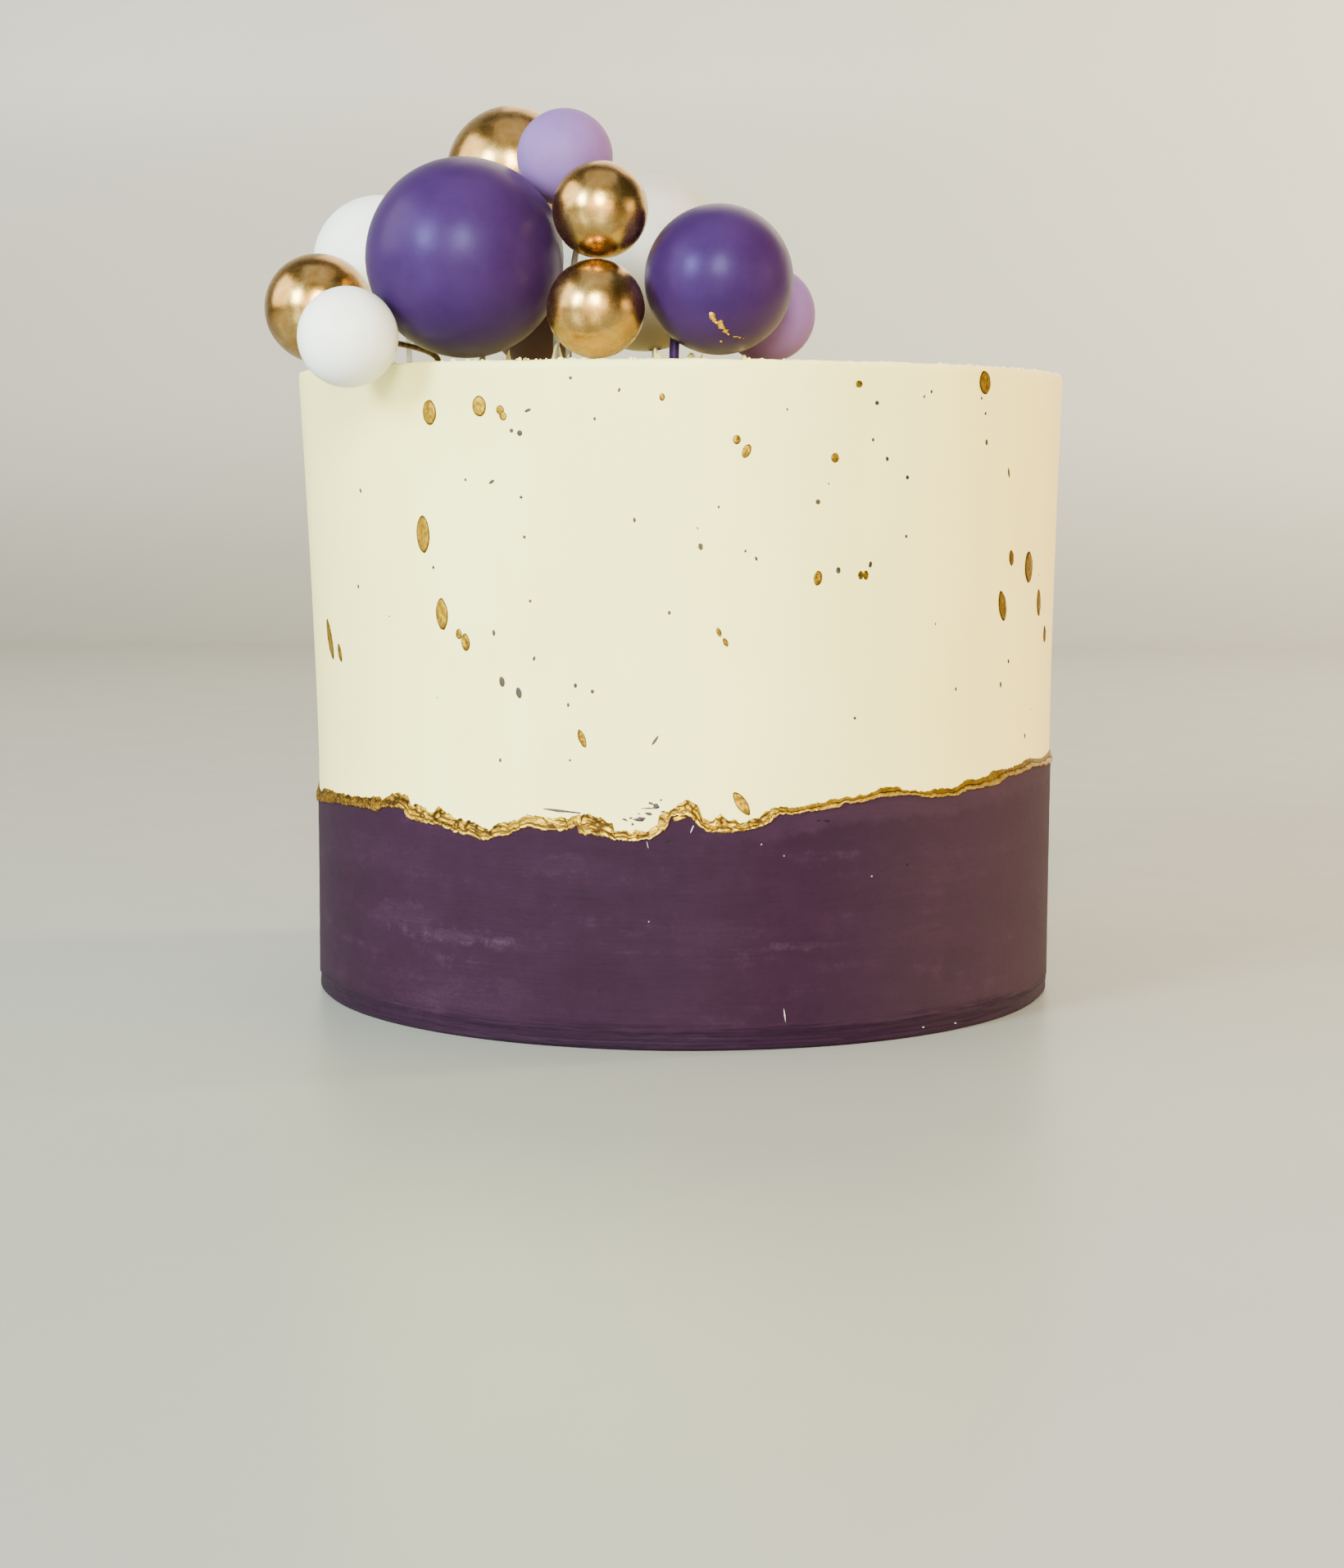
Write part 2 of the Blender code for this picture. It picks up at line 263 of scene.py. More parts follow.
def borderAt(points, angle):  # read off the points in a straight line, in metres
    angle = (angle - points[0][0]) % 360 + points[0][0]
    for before, after in zip(points, points[1:]):
        if before[0] <= angle <= after[0]:
            share = (angle - before[0]) / (after[0] - before[0])
            return (before[1] + (after[1] - before[1]) * share) * mm


backLower, backUpper = backOfEdge()
lowerLine = [*edge["lower"], *backLower, (edge["lower"][0][0] + 360, edge["lower"][0][1])]
upperLine = [*edge["upper"], *backUpper, (edge["upper"][0][0] + 360, edge["upper"][0][1])]
tableStart, tableSteps = edge["front"][0][0], 3600
tableAngles = [tableStart + 360 * i / tableSteps for i in range(tableSteps)]
lowerTable = [borderAt(lowerLine, angle) for angle in tableAngles]
upperTable = [borderAt(upperLine, angle) for angle in tableAngles]


def bordersAt(angle):
    index = round((angle - tableStart) % 360 / 360 * tableSteps) % tableSteps
    return lowerTable[index], upperTable[index]


def seamAt(angle):
    return sum(bordersAt(angle)) / 2


# Modelling helpers.
def named(name):
    piece = bpy.context.object
    piece.name = piece.data.name = name
    return piece


def only(piece):
    bpy.ops.object.select_all(action="DESELECT")
    piece.select_set(True)
    bpy.context.view_layer.objects.active = piece


def pulledUp(name, rings, steps):  # a filled circle, pulled through rings of radius and height
    radius, height = rings[0]
    bpy.ops.mesh.primitive_circle_add(
        vertices=steps, radius=radius, fill_type="NGON", location=(0, 0, height))
    piece = named(name)
    bpy.ops.object.mode_set(mode="EDIT")
    bpy.ops.mesh.select_all(action="SELECT")
    for wide, high in rings[1:]:
        bpy.ops.mesh.extrude_region_move(TRANSFORM_OT_translate={"value": (0, 0, high - height)})
        scale = wide / radius
        bpy.ops.transform.resize(value=(scale, scale, 1), center_override=(0, 0, high))
        radius, height = wide, high
    closeUp(piece)
    return piece


def closeUp(piece):  # out of edit mode, with every face outwards and the place in the mesh
    bpy.ops.mesh.select_all(action="SELECT")
    bpy.ops.mesh.normals_make_consistent(inside=False)
    bpy.ops.object.mode_set(mode="OBJECT")
    bpy.ops.object.transform_apply(location=True, rotation=True, scale=True)


def shaped(piece, rule):  # worked over point by point: each point goes where the rule says
    for vert in piece.data.vertices:
        vert.co = rule(vert.co.copy())
    piece.data.update()


def smoothed(piece, angle=40):
    only(piece)
    bpy.ops.object.shade_smooth_by_angle(angle=math.radians(angle))


def evenly(first, last, count):
    return [first + (last - first) * i / count for i in range(count + 1)]


def copied(piece, name):
    other = piece.copy()
    other.data = piece.data.copy()
    other.name = other.data.name = name
    bpy.context.collection.objects.link(other)
    return other


def joined(name, parts):
    bpy.ops.object.select_all(action="DESELECT")
    for part in parts:
        part.select_set(True)
    bpy.context.view_layer.objects.active = parts[0]
    bpy.ops.object.join()
    return named(name)


def finished(piece, material, nodes=()):
    piece.data.materials.clear()
    piece.data.materials.append(material)
    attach(piece, "root")
    if nodes:
        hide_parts(*nodes)


# Ivory icing: smooth, faintly clouded, with soft upright bands from the scraper.
ivoryLook = {
    "pale": (0.87, 0.82, 0.32),
    "deep": (0.83, 0.775, 0.285),
    # painted shade: a darker tone inside the tiny air pits
    "pit": (0.70, 0.63, 0.26),
    "gloss": 0.46,
}


def ivoryIcing():
    icing = Finish("ivoryIcing", {"Specular IOR Level": 0.3})
    clouds = icing.cloud(42, 3, 0.55)
    bands = icing.cloud(9, 2, 0.5, icing.stretched((1, 1, 0.12)))
    grain = icing.cloud(0.55, 2, 0.6)
    pits = icing.cells(2.6)
    share = icing.span(clouds * 0.7 + bands * 0.3, 0.35, 0.68)
    colour = icing.mix(share, ivoryLook["deep"], ivoryLook["pale"])
    # painted shade in the pits: the colour darkens where the pits are
    colour = icing.mix(icing.span(pits, 0.09, 0.02) * 0.25, colour, ivoryLook["pit"])
    low = icing.bump(bands * 0.6 + clouds * 0.4, 0.25)
    fine = icing.bump(grain - icing.span(pits, 0.10, 0.0) * 0.8, 0.018, low)
    return icing.shade({
        "Base Color": colour,
        "Roughness": ivoryLook["gloss"] + (grain - 0.5) * 0.16 + (bands - 0.5) * 0.1,
        "Normal": fine})


# Purple icing: dry and velvety, cloudy, with long level marks where it was scraped.
purpleLook = {
    "dark": (0.0122, 0.0029, 0.0110),
    "light": (0.0192, 0.0052, 0.0178),
    "bloom": (0.058, 0.028, 0.056),
    # painted warm light: a paler, browner tone on the far right side of the coat
    "warmLightRight": (0.056, 0.040, 0.052),  # at the far right
    "foot": (0.0062, 0.0006, 0.0082),
    "footHeight": 4.2 * mm,
    # how much of each tone comes through
    "shares": {
        "dry": 0.20, "streaks": 0.62, "paler": 0.17, "warmLightRight": 0.36, "foot": 0.36, "grooves": 0.5},
    # x, z, half width and half height in mm, then how strong
    "streaks": (
        (-49, 20.6, 13, 1.3, 0.62), (-58, 23.5, 8, 3.4, 0.34), (-34, 20.0, 9, 1.2, 0.28),
        (21, 20.8, 10, 0.9, 0.48), (9, 23, 10, 2.4, 0.20), (-26, 37, 10, 3.0, 0.24),
        (48, 21.5, 12, 2.4, 0.20), (52, 34, 16, 4.0, 0.20), (-66, 36, 8, 4.0, 0.20),
        (-44, 9, 16, 4.0, 0.22)),
    "smudges": (
        (56, 14, 6, 3.2, 0.6), (76, 20, 4, 5.0, 0.5), (14, 9, 14, 3, 0.25),
        (-20, 28, 18, 3, 0.25)),
}


def purpleIcing():
    icing = Finish("purpleIcing", {
        "Specular IOR Level": 0.10, "Sheen Weight": 0.01, "Sheen Roughness": 0.5})
    shares, footHeight = purpleLook["shares"], purpleLook["footHeight"]
    clouds = icing.cloud(34, 4, 0.65, warp=0.4)
    streaks = icing.cloud(36, 4, 0.68, icing.stretched((1, 1, 6)))
    lines = icing.cloud(14, 3, 0.7, icing.stretched((1, 1, 16)))
    mottle = icing.cloud(4.5, 4, 0.7)
    grain = icing.cloud(0.6, 3, 0.75)
    share = icing.span(clouds * 0.34 + streaks * 0.24 + mottle * 0.24 + grain * 0.18, 0.34, 0.66)
    colour = icing.mix(share, purpleLook["dark"], purpleLook["light"])
    # where the coat has dried paler
    dry = icing.span(streaks * 0.5 + mottle * 0.3 + grain * 0.2, 0.54, 0.66)
    colour = icing.mix(dry * shares["dry"], colour, purpleLook["bloom"])
    brushed = icing.span(lines * 0.6 + grain * 0.4, 0.46, 0.60)
    for x, z, wide, high, strength in purpleLook["streaks"]:
        patch = icing.spot((x, z), (wide, high), (mottle - 0.5) * 9 + (lines - 0.5) * 5)
        patch = patch * (brushed * 0.7 + 0.3) * (strength * shares["streaks"])
        colour = icing.mix(patch, colour, purpleLook["bloom"])
    for x, z, wide, high, strength in purpleLook["smudges"]:
        patch = icing.spot((x, z), (wide, high), (mottle - 0.5) * 6)
        colour = icing.mix(patch * strength, colour, purpleLook["dark"])
    height = icing.axis("Z")
    across = icing.axis("X")
    leaning = height - across * 0.075 + (clouds + mottle - 1.0) * 0.006
    paler = icing.span(leaning, 41.0 * mm, 43.4 * mm)
    paler = paler * icing.span(across, 0.002, 0.03) * icing.span(icing.axis("Y"), 0.0, -0.02)
    colour = icing.mix(paler * shares["paler"], colour, purpleLook["bloom"])
    # painted warm light: the coat turns paler and browner towards the right
    warmLightRight = icing.span(across, 0.016, 0.076)
    colour = icing.mix(warmLightRight * shares["warmLightRight"], colour, purpleLook["warmLightRight"])
    ragged = height + (icing.cloud(9, 3) - 0.5) * (2.6 * mm)
    foot = icing.span(ragged, footHeight + 0.5 * mm, footHeight - 0.5 * mm)
    grooves = icing.cloud(22, 3, 0.75, icing.stretched((1, 1, 46)))
    grooved = icing.span(grooves, 0.50, 0.42) * icing.span(ragged, footHeight + 2.2 * mm, footHeight)
    colour = icing.mix(foot * shares["foot"], colour, purpleLook["foot"])
    colour = icing.mix(grooved * shares["grooves"], colour, purpleLook["foot"])
    low = icing.bump(lines * 0.4 + clouds * 0.4 + mottle * 0.2, 0.24)
    fine = icing.bump(grain - grooved * 0.8, 0.08, low)
    return icing.shade({
        "Base Color": colour,
        "Roughness": 0.72 + (grain - 0.5) * 0.2 - foot * 0.10,
        "Normal": fine})


# Gold leaf and lustre paint. The attribute it reads is 0 in a crease, with painted shade, and 1 on a
# bright ridge, with a painted highlight.
goldLook = {
    # crease and shade are painted shade in the folds, ridge is a painted highlight, body is the paint's
    # own tone
    "crease": (0.035, 0.016, 0.002),
    "shade": (0.13, 0.066, 0.004),
    "body": (0.38, 0.22, 0.012),
    "ridge": (0.95, 0.64, 0.07),
    # painted highlight: the paler colour of the proud lip where it catches the light
    "lip": (0.88, 0.50, 0.11),
    "grain": 0.40,
    "thin": ((0.020, 0.017, 0.011), (0.062, 0.040, 0.015)),
    "foil": ((0.37, 0.195, 0.045), (0.44, 0.26, 0.075), (0.51, 0.335, 0.115)),
}


def goldPaint():
    paint = Finish("goldPaint", {"Specular IOR Level": 0.15})
    # the crease-to-ridge value, which carries painted shade and painted highlight as well as the
    # paint's own tone
    fold = paint.attribute("fold")
    grain = paint.cloud(goldLook["grain"], 3, 0.7)
    patches = paint.cloud(1.6, 3, 0.6, warp=0.6)
    share = fold + (grain - 0.5) * 0.30 + (patches - 0.5) * 0.30
    colour = paint.ramp(share, [
        (0.04, goldLook["crease"]), (0.22, goldLook["shade"]),
        (0.50, goldLook["body"]), (0.92, goldLook["ridge"])])
    # a painted highlight along the proud lower lip
    colour = paint.mix(paint.attribute("lip") * 0.75, colour, goldLook["lip"])
    return paint.shade({
        "Base Color": colour,
        "Metallic": paint.span(share, 0.1, 0.6) * 0.2 + 0.75,
        "Roughness": 0.50 - patches * 0.16 + grain * 0.10,
        "Normal": paint.bump(patches * 0.4 + grain * 0.6, 0.08)})


def thinGold():  # the smallest dots, where the paint is thin and greyer
    paint = Finish("thinGold", {"Metallic": 0.35})
    patches = paint.cloud(3.0, 2)
    grain = paint.cloud(0.3, 2, 0.6)
    colour = paint.mix(paint.span(patches, 0.40, 0.62), *goldLook["thin"])
    return paint.shade({
        "Base Color": colour,
        "Roughness": 0.42 + grain * 0.2,
        "Normal": paint.bump(grain, 0.04)})


# The topper balls: satin paint on a light core, and a mottled foil on the gold ones.
ballLook = {
    "purple": {
        "deep": (0.0225, 0.0080, 0.049), "pale": (0.0285, 0.0110, 0.060),
        "gloss": 0.36, "shine": 0.18, "tint": (0.42, 0.42, 1.0)},
    "lilac": {
        "deep": (0.133, 0.075, 0.235), "pale": (0.153, 0.088, 0.265),
        "gloss": 0.5, "shine": 0.08, "tint": (0.8, 0.8, 1.0)},
    "white": {
        "deep": (0.70, 0.73, 0.72), "pale": (0.76, 0.79, 0.78),
        "gloss": 0.42, "shine": 0.3, "tint": (1.0, 1.0, 1.0)},
    "pearl": {  # the large white ball: the white paint darker and warmer as painted shade, and darker low down as a painted shadow
        "deep": (0.385, 0.37, 0.345), "pale": (0.455, 0.435, 0.405),
        "gloss": 0.46, "shine": 0.2, "tint": (1.0, 0.98, 0.94),
        "below": (0.10, 0.084, 0.068), "belowFrom": 168 * mm, "belowTo": 146 * mm},
    "plum": {  # the shaded ball: the purple paint made lighter and browner, painted light
        "deep": (0.062, 0.040, 0.048), "pale": (0.074, 0.048, 0.058),
        "gloss": 0.5, "shine": 0.1, "tint": (1.0, 0.9, 0.9)},
}


def ballPaint(name):
    look = ballLook[name]
    paint = Finish(name + "BallPaint", {
        "Specular IOR Level": look["shine"], "Specular Tint": (*look["tint"], 1)})
    clouds = paint.cloud(11, 3, 0.55)
    grain = paint.cloud(0.5, 2, 0.6)
    mottled = paint.span(clouds * 0.8 + grain * 0.2, 0.35, 0.65)
    colour = paint.mix(mottled, look["deep"], look["pale"])
    # painted shade: the paint darkens towards the bottom of the ball
    if "below" in look:
        low = paint.span(paint.axis("Z"), look["belowFrom"], look["belowTo"])
        colour = paint.mix(low * 0.95, colour, look["below"])
    return paint.shade({
        "Base Color": colour,
        "Roughness": look["gloss"] + (clouds - 0.5) * 0.10 + (grain - 0.5) * 0.10,
        "Normal": paint.bump(grain, 0.012, paint.bump(clouds, 0.12))})


def ballFoil():
    foil = Finish("goldBallFoil", {"Metallic": 1.0})
    patches = foil.cloud(4.2, 3, 0.6, warp=0.5)
    dents = foil.cloud(1.9, 2, 0.5)
    grain = foil.cloud(0.35, 2, 0.6)
    colour = foil.ramp(patches, list(zip((0.30, 0.50, 0.70), goldLook["foil"])))
    return foil.shade({
        "Base Color": colour,
        "Roughness": 0.27 + (patches - 0.5) * 0.14 + (grain - 0.5) * 0.08,
        "Normal": foil.bump(dents * 0.6 + patches * 0.4, 0.055)})


def pickPaint(name, colour, darker, metal, gloss):
    paint = Finish(name, {"Metallic": metal})
    along = paint.cloud(1.6, 2, 0.6, paint.stretched((1, 1, 0.3)))
    grain = paint.cloud(0.4, 2)
    return paint.shade({
        "Base Color": paint.mix(paint.span(along, 0.35, 0.65), darker, colour),
        "Roughness": gloss + (grain - 0.5) * 0.2,
        "Normal": paint.bump(along, 0.05)})


def bitPaint(name, pale, dark, gloss):
    paint = Finish(name, {"Specular IOR Level": 0.2})
    patches = paint.cloud(0.8, 3, 0.6)
    return paint.shade({
        "Base Color": paint.mix(paint.span(patches, 0.38, 0.62), dark, pale),
        "Roughness": gloss + (patches - 0.5) * 0.2,
        "Normal": paint.bump(patches, 0.05)})


ivory, purple, gold, dotGold = ivoryIcing(), purpleIcing(), goldPaint(), thinGold()
fibreWhite = bitPaint("fibreWhite", (0.50, 0.49, 0.45), (0.30, 0.27, 0.27), 0.5)
# painted shade: near-black specks on the purple coat stand for small pits in shade
pitShadeDark = bitPaint("pitShadeDark", (0.008, 0.003, 0.008), (0.003, 0.001, 0.003), 0.7)
scrapeGrey = bitPaint("scrapeGrey", (0.060, 0.045, 0.060), (0.018, 0.011, 0.016), 0.6)
ballPaints = {name: ballPaint(name) for name in ballLook}
ballPaints["gold"] = ballFoil()
pickPaints = {
    # painted shade: the white picks are mid grey, as they look in the shade of the balls
    "pick_white": pickPaint("whitePickInShade", (0.34, 0.34, 0.31), (0.20, 0.20, 0.18), 0.0, 0.5),
    "pick_bronze": pickPaint("bronzePick", (0.13, 0.07, 0.025), (0.045, 0.022, 0.010), 0.85, 0.38),
    "ball_purple": ballPaints["purple"],
}
print("finishes are mixed")


# The purple coat stands straight up to the torn edge, with a ragged shallow foot.
purpleCoat = {
    "chamfer": 0.6,
    "foot": 6.0,  # mm, where the finer rings end
    "seam": 47.0,
    "hidden": 46.5,  # mm, its upper face under the ivory coat
    "footDepth": 0.32 * mm,
    "wobble": 0.12 * mm,
    "lines": 0.035 * mm,
}


def makePurpleCoat():
    radius = cake["purpleRadius"] / mm
    rings = [(radius - purpleCoat["chamfer"], 0)]
    rings += [(radius, z) for z in evenly(purpleCoat["chamfer"], purpleCoat["foot"], 15)]
    rings += [(radius, z) for z in evenly(purpleCoat["foot"], purpleCoat["seam"], 44)[1:]]
    rings += [(radius - 1.9, purpleCoat["seam"])]
    rings += [(r, purpleCoat["hidden"]) for r in (radius - 10, radius - 45, 2)]
    piece = pulledUp("purpleCoat", [(r * mm, z * mm) for r, z in rings], cake["steps"])
    foot, seam = purpleCoat["foot"] * mm, purpleCoat["seam"] * mm

    def worked(point):
        out = math.hypot(point.x, point.y)
        if out < (radius - 3) * mm:
            return point
        if point.z > foot:
            angle = angleOf(point)
            point.z = foot + (point.z - foot) * (seamAt(angle) - foot) / (seam - foot)
        level = Vector((point.x, point.y, point.z * 9))
        relief = purpleCoat["wobble"] * rough(point, 34, 3) + purpleCoat["lines"] * rough(level, 30, 5)
        step = 3.6 * mm + 0.8 * mm * rough(point, 16, 8) + 0.5 * mm * rough(point, 4, 9)
        inFoot = 1 - ease(step - 0.25 * mm, step + 0.25 * mm, point.z)
        groove = Vector((point.x, point.y, point.z * 20))
        relief -= inFoot * (purpleCoat["footDepth"] * (0.6 + 0.5 * rough(groove, 24, 2)))
        scale = (out + relief) / out
        return Vector((point.x * scale, point.y * scale, point.z))

    shaped(piece, worked)
    smoothed(piece)
    finished(piece, purple, ["purple_layer"])


# The ivory coat flares a little to a crisp, slightly ragged rim round a scraped top.
ivoryCoat = {
    "seam": 47.0,
    "rimRound": 0.7,
    "wobble": 0.10 * mm,
    "ragged": 0.16 * mm,
    "swirl": 0.10 * mm,
    "topRings": 34,
}


def makeIvoryCoat():
    low, high, top = cake["ivoryRadius"] / mm, cake["rimRadius"] / mm, cake["height"] / mm
    edgeRound = ivoryCoat["rimRound"]
    rings = [(2, 48), (low - 45, 48), (low - 10, 48), (low - 1.9, 47.6), (low, ivoryCoat["seam"])]
    rings += [(low, z) for z in evenly(ivoryCoat["seam"], top - 4, 58)[1:]]
    rings += [(low, z) for z in evenly(top - 4, top - edgeRound, 8)[1:]]
    for turn in (25, 50, 70, 90):
        share = math.radians(turn)
        rings.append((low - edgeRound * (1 - math.cos(share)), top - edgeRound * (1 - math.sin(share))))
    rings += [(r, top) for r in (low - 1.2, low - 2, low - 3.2)]
    rings += [(r, top) for r in evenly(low - 3.2, 2, ivoryCoat["topRings"])[1:]]
    piece = pulledUp("ivoryCoat", [(r * mm, z * mm) for r, z in rings], cake["steps"])
    seam, height = ivoryCoat["seam"] * mm, cake["height"]

    def worked(point):
        out = math.hypot(point.x, point.y)
        onTop = point.z > height - 0.01 * mm
        if out < (low - 3) * mm and not onTop:
            return point
        if not onTop:
            angle = angleOf(point)
            point.z = height - (height - point.z) * (height - seamAt(angle)) / (height - seam)
        radius = wallRadius(point.z) - (low * mm - out)
        if onTop:
            radius = out * cake["rimRadius"] / (low * mm)
        direction = Vector((point.x, point.y, 0)) / out
        spot = direction * radius + Vector((0, 0, point.z))
        upright = Vector((spot.x, spot.y, spot.z * 0.2))
        nearRim = ease(height - 1.6 * mm, height - 0.3 * mm, point.z)
        nearRim *= ease((low - 4) * mm, (low - 1.5) * mm, out)
        relief = ivoryCoat["wobble"] * (rough(upright, 26, 4) + 0.4 * rough(upright, 9, 6))
        relief += nearRim * ivoryCoat["ragged"] * (rough(spot, 2.2, 1) + 0.7 * rough(spot, 6, 2) - 0.9)
        lift = nearRim * ivoryCoat["ragged"] * (1.1 * rough(spot, 1.8, 7) + rough(spot, 9, 3) - 0.3)
        if onTop:
            inside = 1 - ease((low - 2.4) * mm, (low - 0.8) * mm, out)
            arc = Vector((math.atan2(point.y, point.x) * 6 * mm, out * 1.6, 0))
            swirl = rough(arc, 2.6, 12) + 0.7 * rough(arc, 0.9, 13)
            lift += inside * (ivoryCoat["swirl"] * swirl - 0.25 * mm + 0.2 * mm * rough(spot, 24, 14))
            relief *= 1 - inside
        centre = cake["rimLean"] * riseShare(point.z)
        radius = min(radius + relief, cake["rimRadius"] - cake["rimMargin"])
        return Vector((centre, 0, lift)) + (direction * radius + Vector((0, 0, point.z)))

    shaped(piece, worked)
    smoothed(piece, 50)
    finished(piece, ivory, ["ivory_layer"])


# The gold edge: a crumpled band that sits in the step between the coats.
def painted(piece, **values):  # what the gold finish reads: 0 in a crease, with painted shade, to 1 on a ridge, with a painted highlight
    for name in ("fold", "lip"):
        layer = piece.data.attributes.new(name, "FLOAT", "POINT")
        if name in values:
            layer.data.foreach_set("value", values[name])


crumple = {
    # how crinkled (1) or smoothly brushed (0) it is, by angle
    "crinkled": (
        (-180, 0.5), (-82, 0.5), (-78, 0.15), (-50, 0.2), (-46, 0.8), (-43, 1.0), (-30, 1.0),
        (-25, 0.55), (-21, 0.4), (-18, 1.0), (-8, 0.9), (-4, 0.6), (0, 0.9), (8, 1.0), (13, 0.6),
        (17, 0.15), (76, 0.1), (84, 0.5), (180, 0.5)),
    # how torn and fibrous it is, by angle
    "fuzzy": (
        (-180, 0.4), (-82, 0.6), (-78, 1.0), (-52, 1.0), (-46, 0.4), (-42, 0.0), (80, 0.0),
        (90, 0.4), (180, 0.4)),
    "lip": 0.50,  # mm proud, along the lower border
    "upper": 0.34,
    "washed": 0.10,  # mm proud, where the upper part is only a wash of paint
    "depth": 0.50,
    "ragged": 0.24,
    # round knobs in the outline: angle, half width in degrees, mm more above and below
    "bulges": (
        (-46.6, 1.3, 0.7, 0.5), (-41.4, 1.4, 1.0, 0.2), (-36.6, 1.6, 0.5, 0.3),
        (-51.5, 1.6, 0.5, 0.2), (5.6, 1.5, 0.9, 0.1), (-16.5, 1.5, 0.4, 0.2)),
}


def by(table, angle):  # a value read off a table of angles in a straight line
    for (low, before), (high, after) in zip(table, table[1:]):
        if low <= angle <= high:
            return before + (after - before) * (angle - low) / (high - low)


def furrow(value, width):  # 1 along the line where the noise crosses 0, 0 away from it
    return math.exp(-(value / width) ** 2)


def makeGoldEdge():
    rows = edge["rows"]
    low, high = 45 * mm, 49 * mm  # an even band first; the worked one follows the borders
    inner, outer = cake["ivoryRadius"] - edge["tuckedIn"], cake["purpleRadius"]
    bpy.ops.mesh.primitive_circle_add(vertices=edge["steps"], radius=inner, location=(0, 0, low))
    piece = named("goldEdge")
    bpy.ops.object.mode_set(mode="EDIT")
    bpy.ops.mesh.select_all(action="SELECT")
    bpy.ops.mesh.extrude_region_move()
    scale = outer / inner
    bpy.ops.transform.resize(value=(scale, scale, 1), center_override=(0, 0, low))
    for row in range(rows):
        bpy.ops.mesh.extrude_region_move(TRANSFORM_OT_translate={"value": (0, 0, (high - low) / rows)})
    bpy.ops.mesh.extrude_region_move()
    bpy.ops.transform.resize(value=(1 / scale, 1 / scale, 1), center_override=(0, 0, high))
    bpy.ops.mesh.select_all(action="SELECT")
    bpy.ops.mesh.region_to_loop()
    bpy.ops.mesh.bridge_edge_loops()
    closeUp(piece)
    shadesAndTones, lipHighlights = [], []

    def worked(point):
        angle = angleOf(point)
        across = (point.z - low) / (high - low)
        bottom, top = bordersAt(angle)
        inside = math.hypot(point.x, point.y) < (inner + outer) / 2
        direction = Vector((point.x, point.y, 0)).normalized()
        spot = direction * outer + Vector((0, 0, bottom + across * (top - bottom)))
        crinkled, fuzzy = by(crumple["crinkled"], angle), by(crumple["fuzzy"], angle)
        torn = crumple["ragged"] * mm
        base = direction * outer + Vector((0, 0, bottom))
        bottom += torn * (rough(base, 1.2, 21) + 0.8 * rough(base, 0.5, 22)) * (1 + 0.5 * crinkled)
        bottom += torn * fuzzy * 0.8 * rough(base, 0.28, 26)
        top += torn * (1.3 * rough(base, 1.5, 23) + 0.9 * rough(base, 0.55, 24)) * (1 + 0.7 * crinkled)
        top += torn * fuzzy * rough(base, 0.28, 25)
        for where, half, above, below in crumple["bulges"]:
            bulge = math.sqrt(max(0.0, 1 - ((angle - where) / half) ** 2))
            top, bottom = top + above * bulge * mm, bottom - below * bulge * mm
        height = bottom + across * (top - bottom)
        if inside:
            shadesAndTones.append(0.1)
            lipHighlights.append(0.0)
            return direction * inner + Vector((0, 0, height))
        spot = direction * outer + Vector((0, 0, height))
        wave = rough(base, 5, 43) + 0.5 * rough(base, 1.6, 44)
        middle = (0.50 if crinkled < 0.3 else 0.36) + 0.13 * wave
        second = 0.70 + 0.12 * (rough(base, 4, 45) + 0.6 * rough(base, 1.3, 46))
        # one long sunken line along the band, a second one that comes and goes, and crinkles, all
        # darkened with painted shade
        long = furrow(across - middle, 0.070 + 0.02 * rough(base, 2.5, 47))
        long *= 0.75 + 0.25 * min(1.0, max(-1.0, 3 * rough(base, 6, 48)))
        other = furrow(across - second, 0.045) * ease(-0.15, 0.2, rough(base, 5, 49))
        other *= 0.25 + 0.75 * crinkled
        warp = Vector((rough(spot, 1.6, 31), rough(spot, 1.6, 32), rough(spot, 1.6, 33))) * (0.5 * mm)
        along = spot + warp
        along = Vector((along.x * 0.62, along.y * 0.62, along.z))
        crinkle = furrow(rough(along, 1.15, 41), 0.15)
        crinkle = max(crinkle, 0.5 * furrow(rough(along, 0.6, 42), 0.12)) * crinkled
        hair = furrow(rough(Vector((spot.x, spot.y, spot.z * 0.35)), 0.42, 54), 0.20) * fuzzy
        lipped = (1 - ease(middle - 0.24, middle - 0.10, across)) * (1 - 0.8 * fuzzy)
        creases = (long * (1 - 0.8 * fuzzy), other, crinkle * (1 - 0.45 * lipped), 0.35 * hair)
        crease = min(1.0, max(creases))
        lump = rough(spot, 1.9, 51) + 0.6 * rough(spot, 0.8, 52)
        grain = rough(spot, 0.36, 53)
        washed = (1 - crinkled) * (1 - fuzzy) * ease(middle - 0.03, middle + 0.10, across)
        proud = crumple["lip"] + (crumple["upper"] - crumple["lip"]) * ease(0.2, 0.7, across)
        proud += (crumple["washed"] - proud) * washed
        proud += 0.14 * lump * (0.3 + 0.7 * crinkled) + 0.05 * grain * (1 + 2 * fuzzy)
        proud -= crumple["depth"] * crease * (1 - 0.75 * washed)
        shelf = ease(0.0, 0.10, across) * (1 - ease(0.92, 1.0, across))
        relief = max(0.17, min(crumple["lip"] + 0.02, proud)) * shelf - 0.2 * (1 - shelf)
        # painted shade in the creases and a painted highlight on the lumps; fuzzy and washed parts keep
        # the paint's own duller tone
        fold = 0.66 - 0.78 * crease + 0.15 * lump + 0.06 * grain * (1 + 2.5 * fuzzy)
        fold -= 0.34 * fuzzy + 0.21 * washed
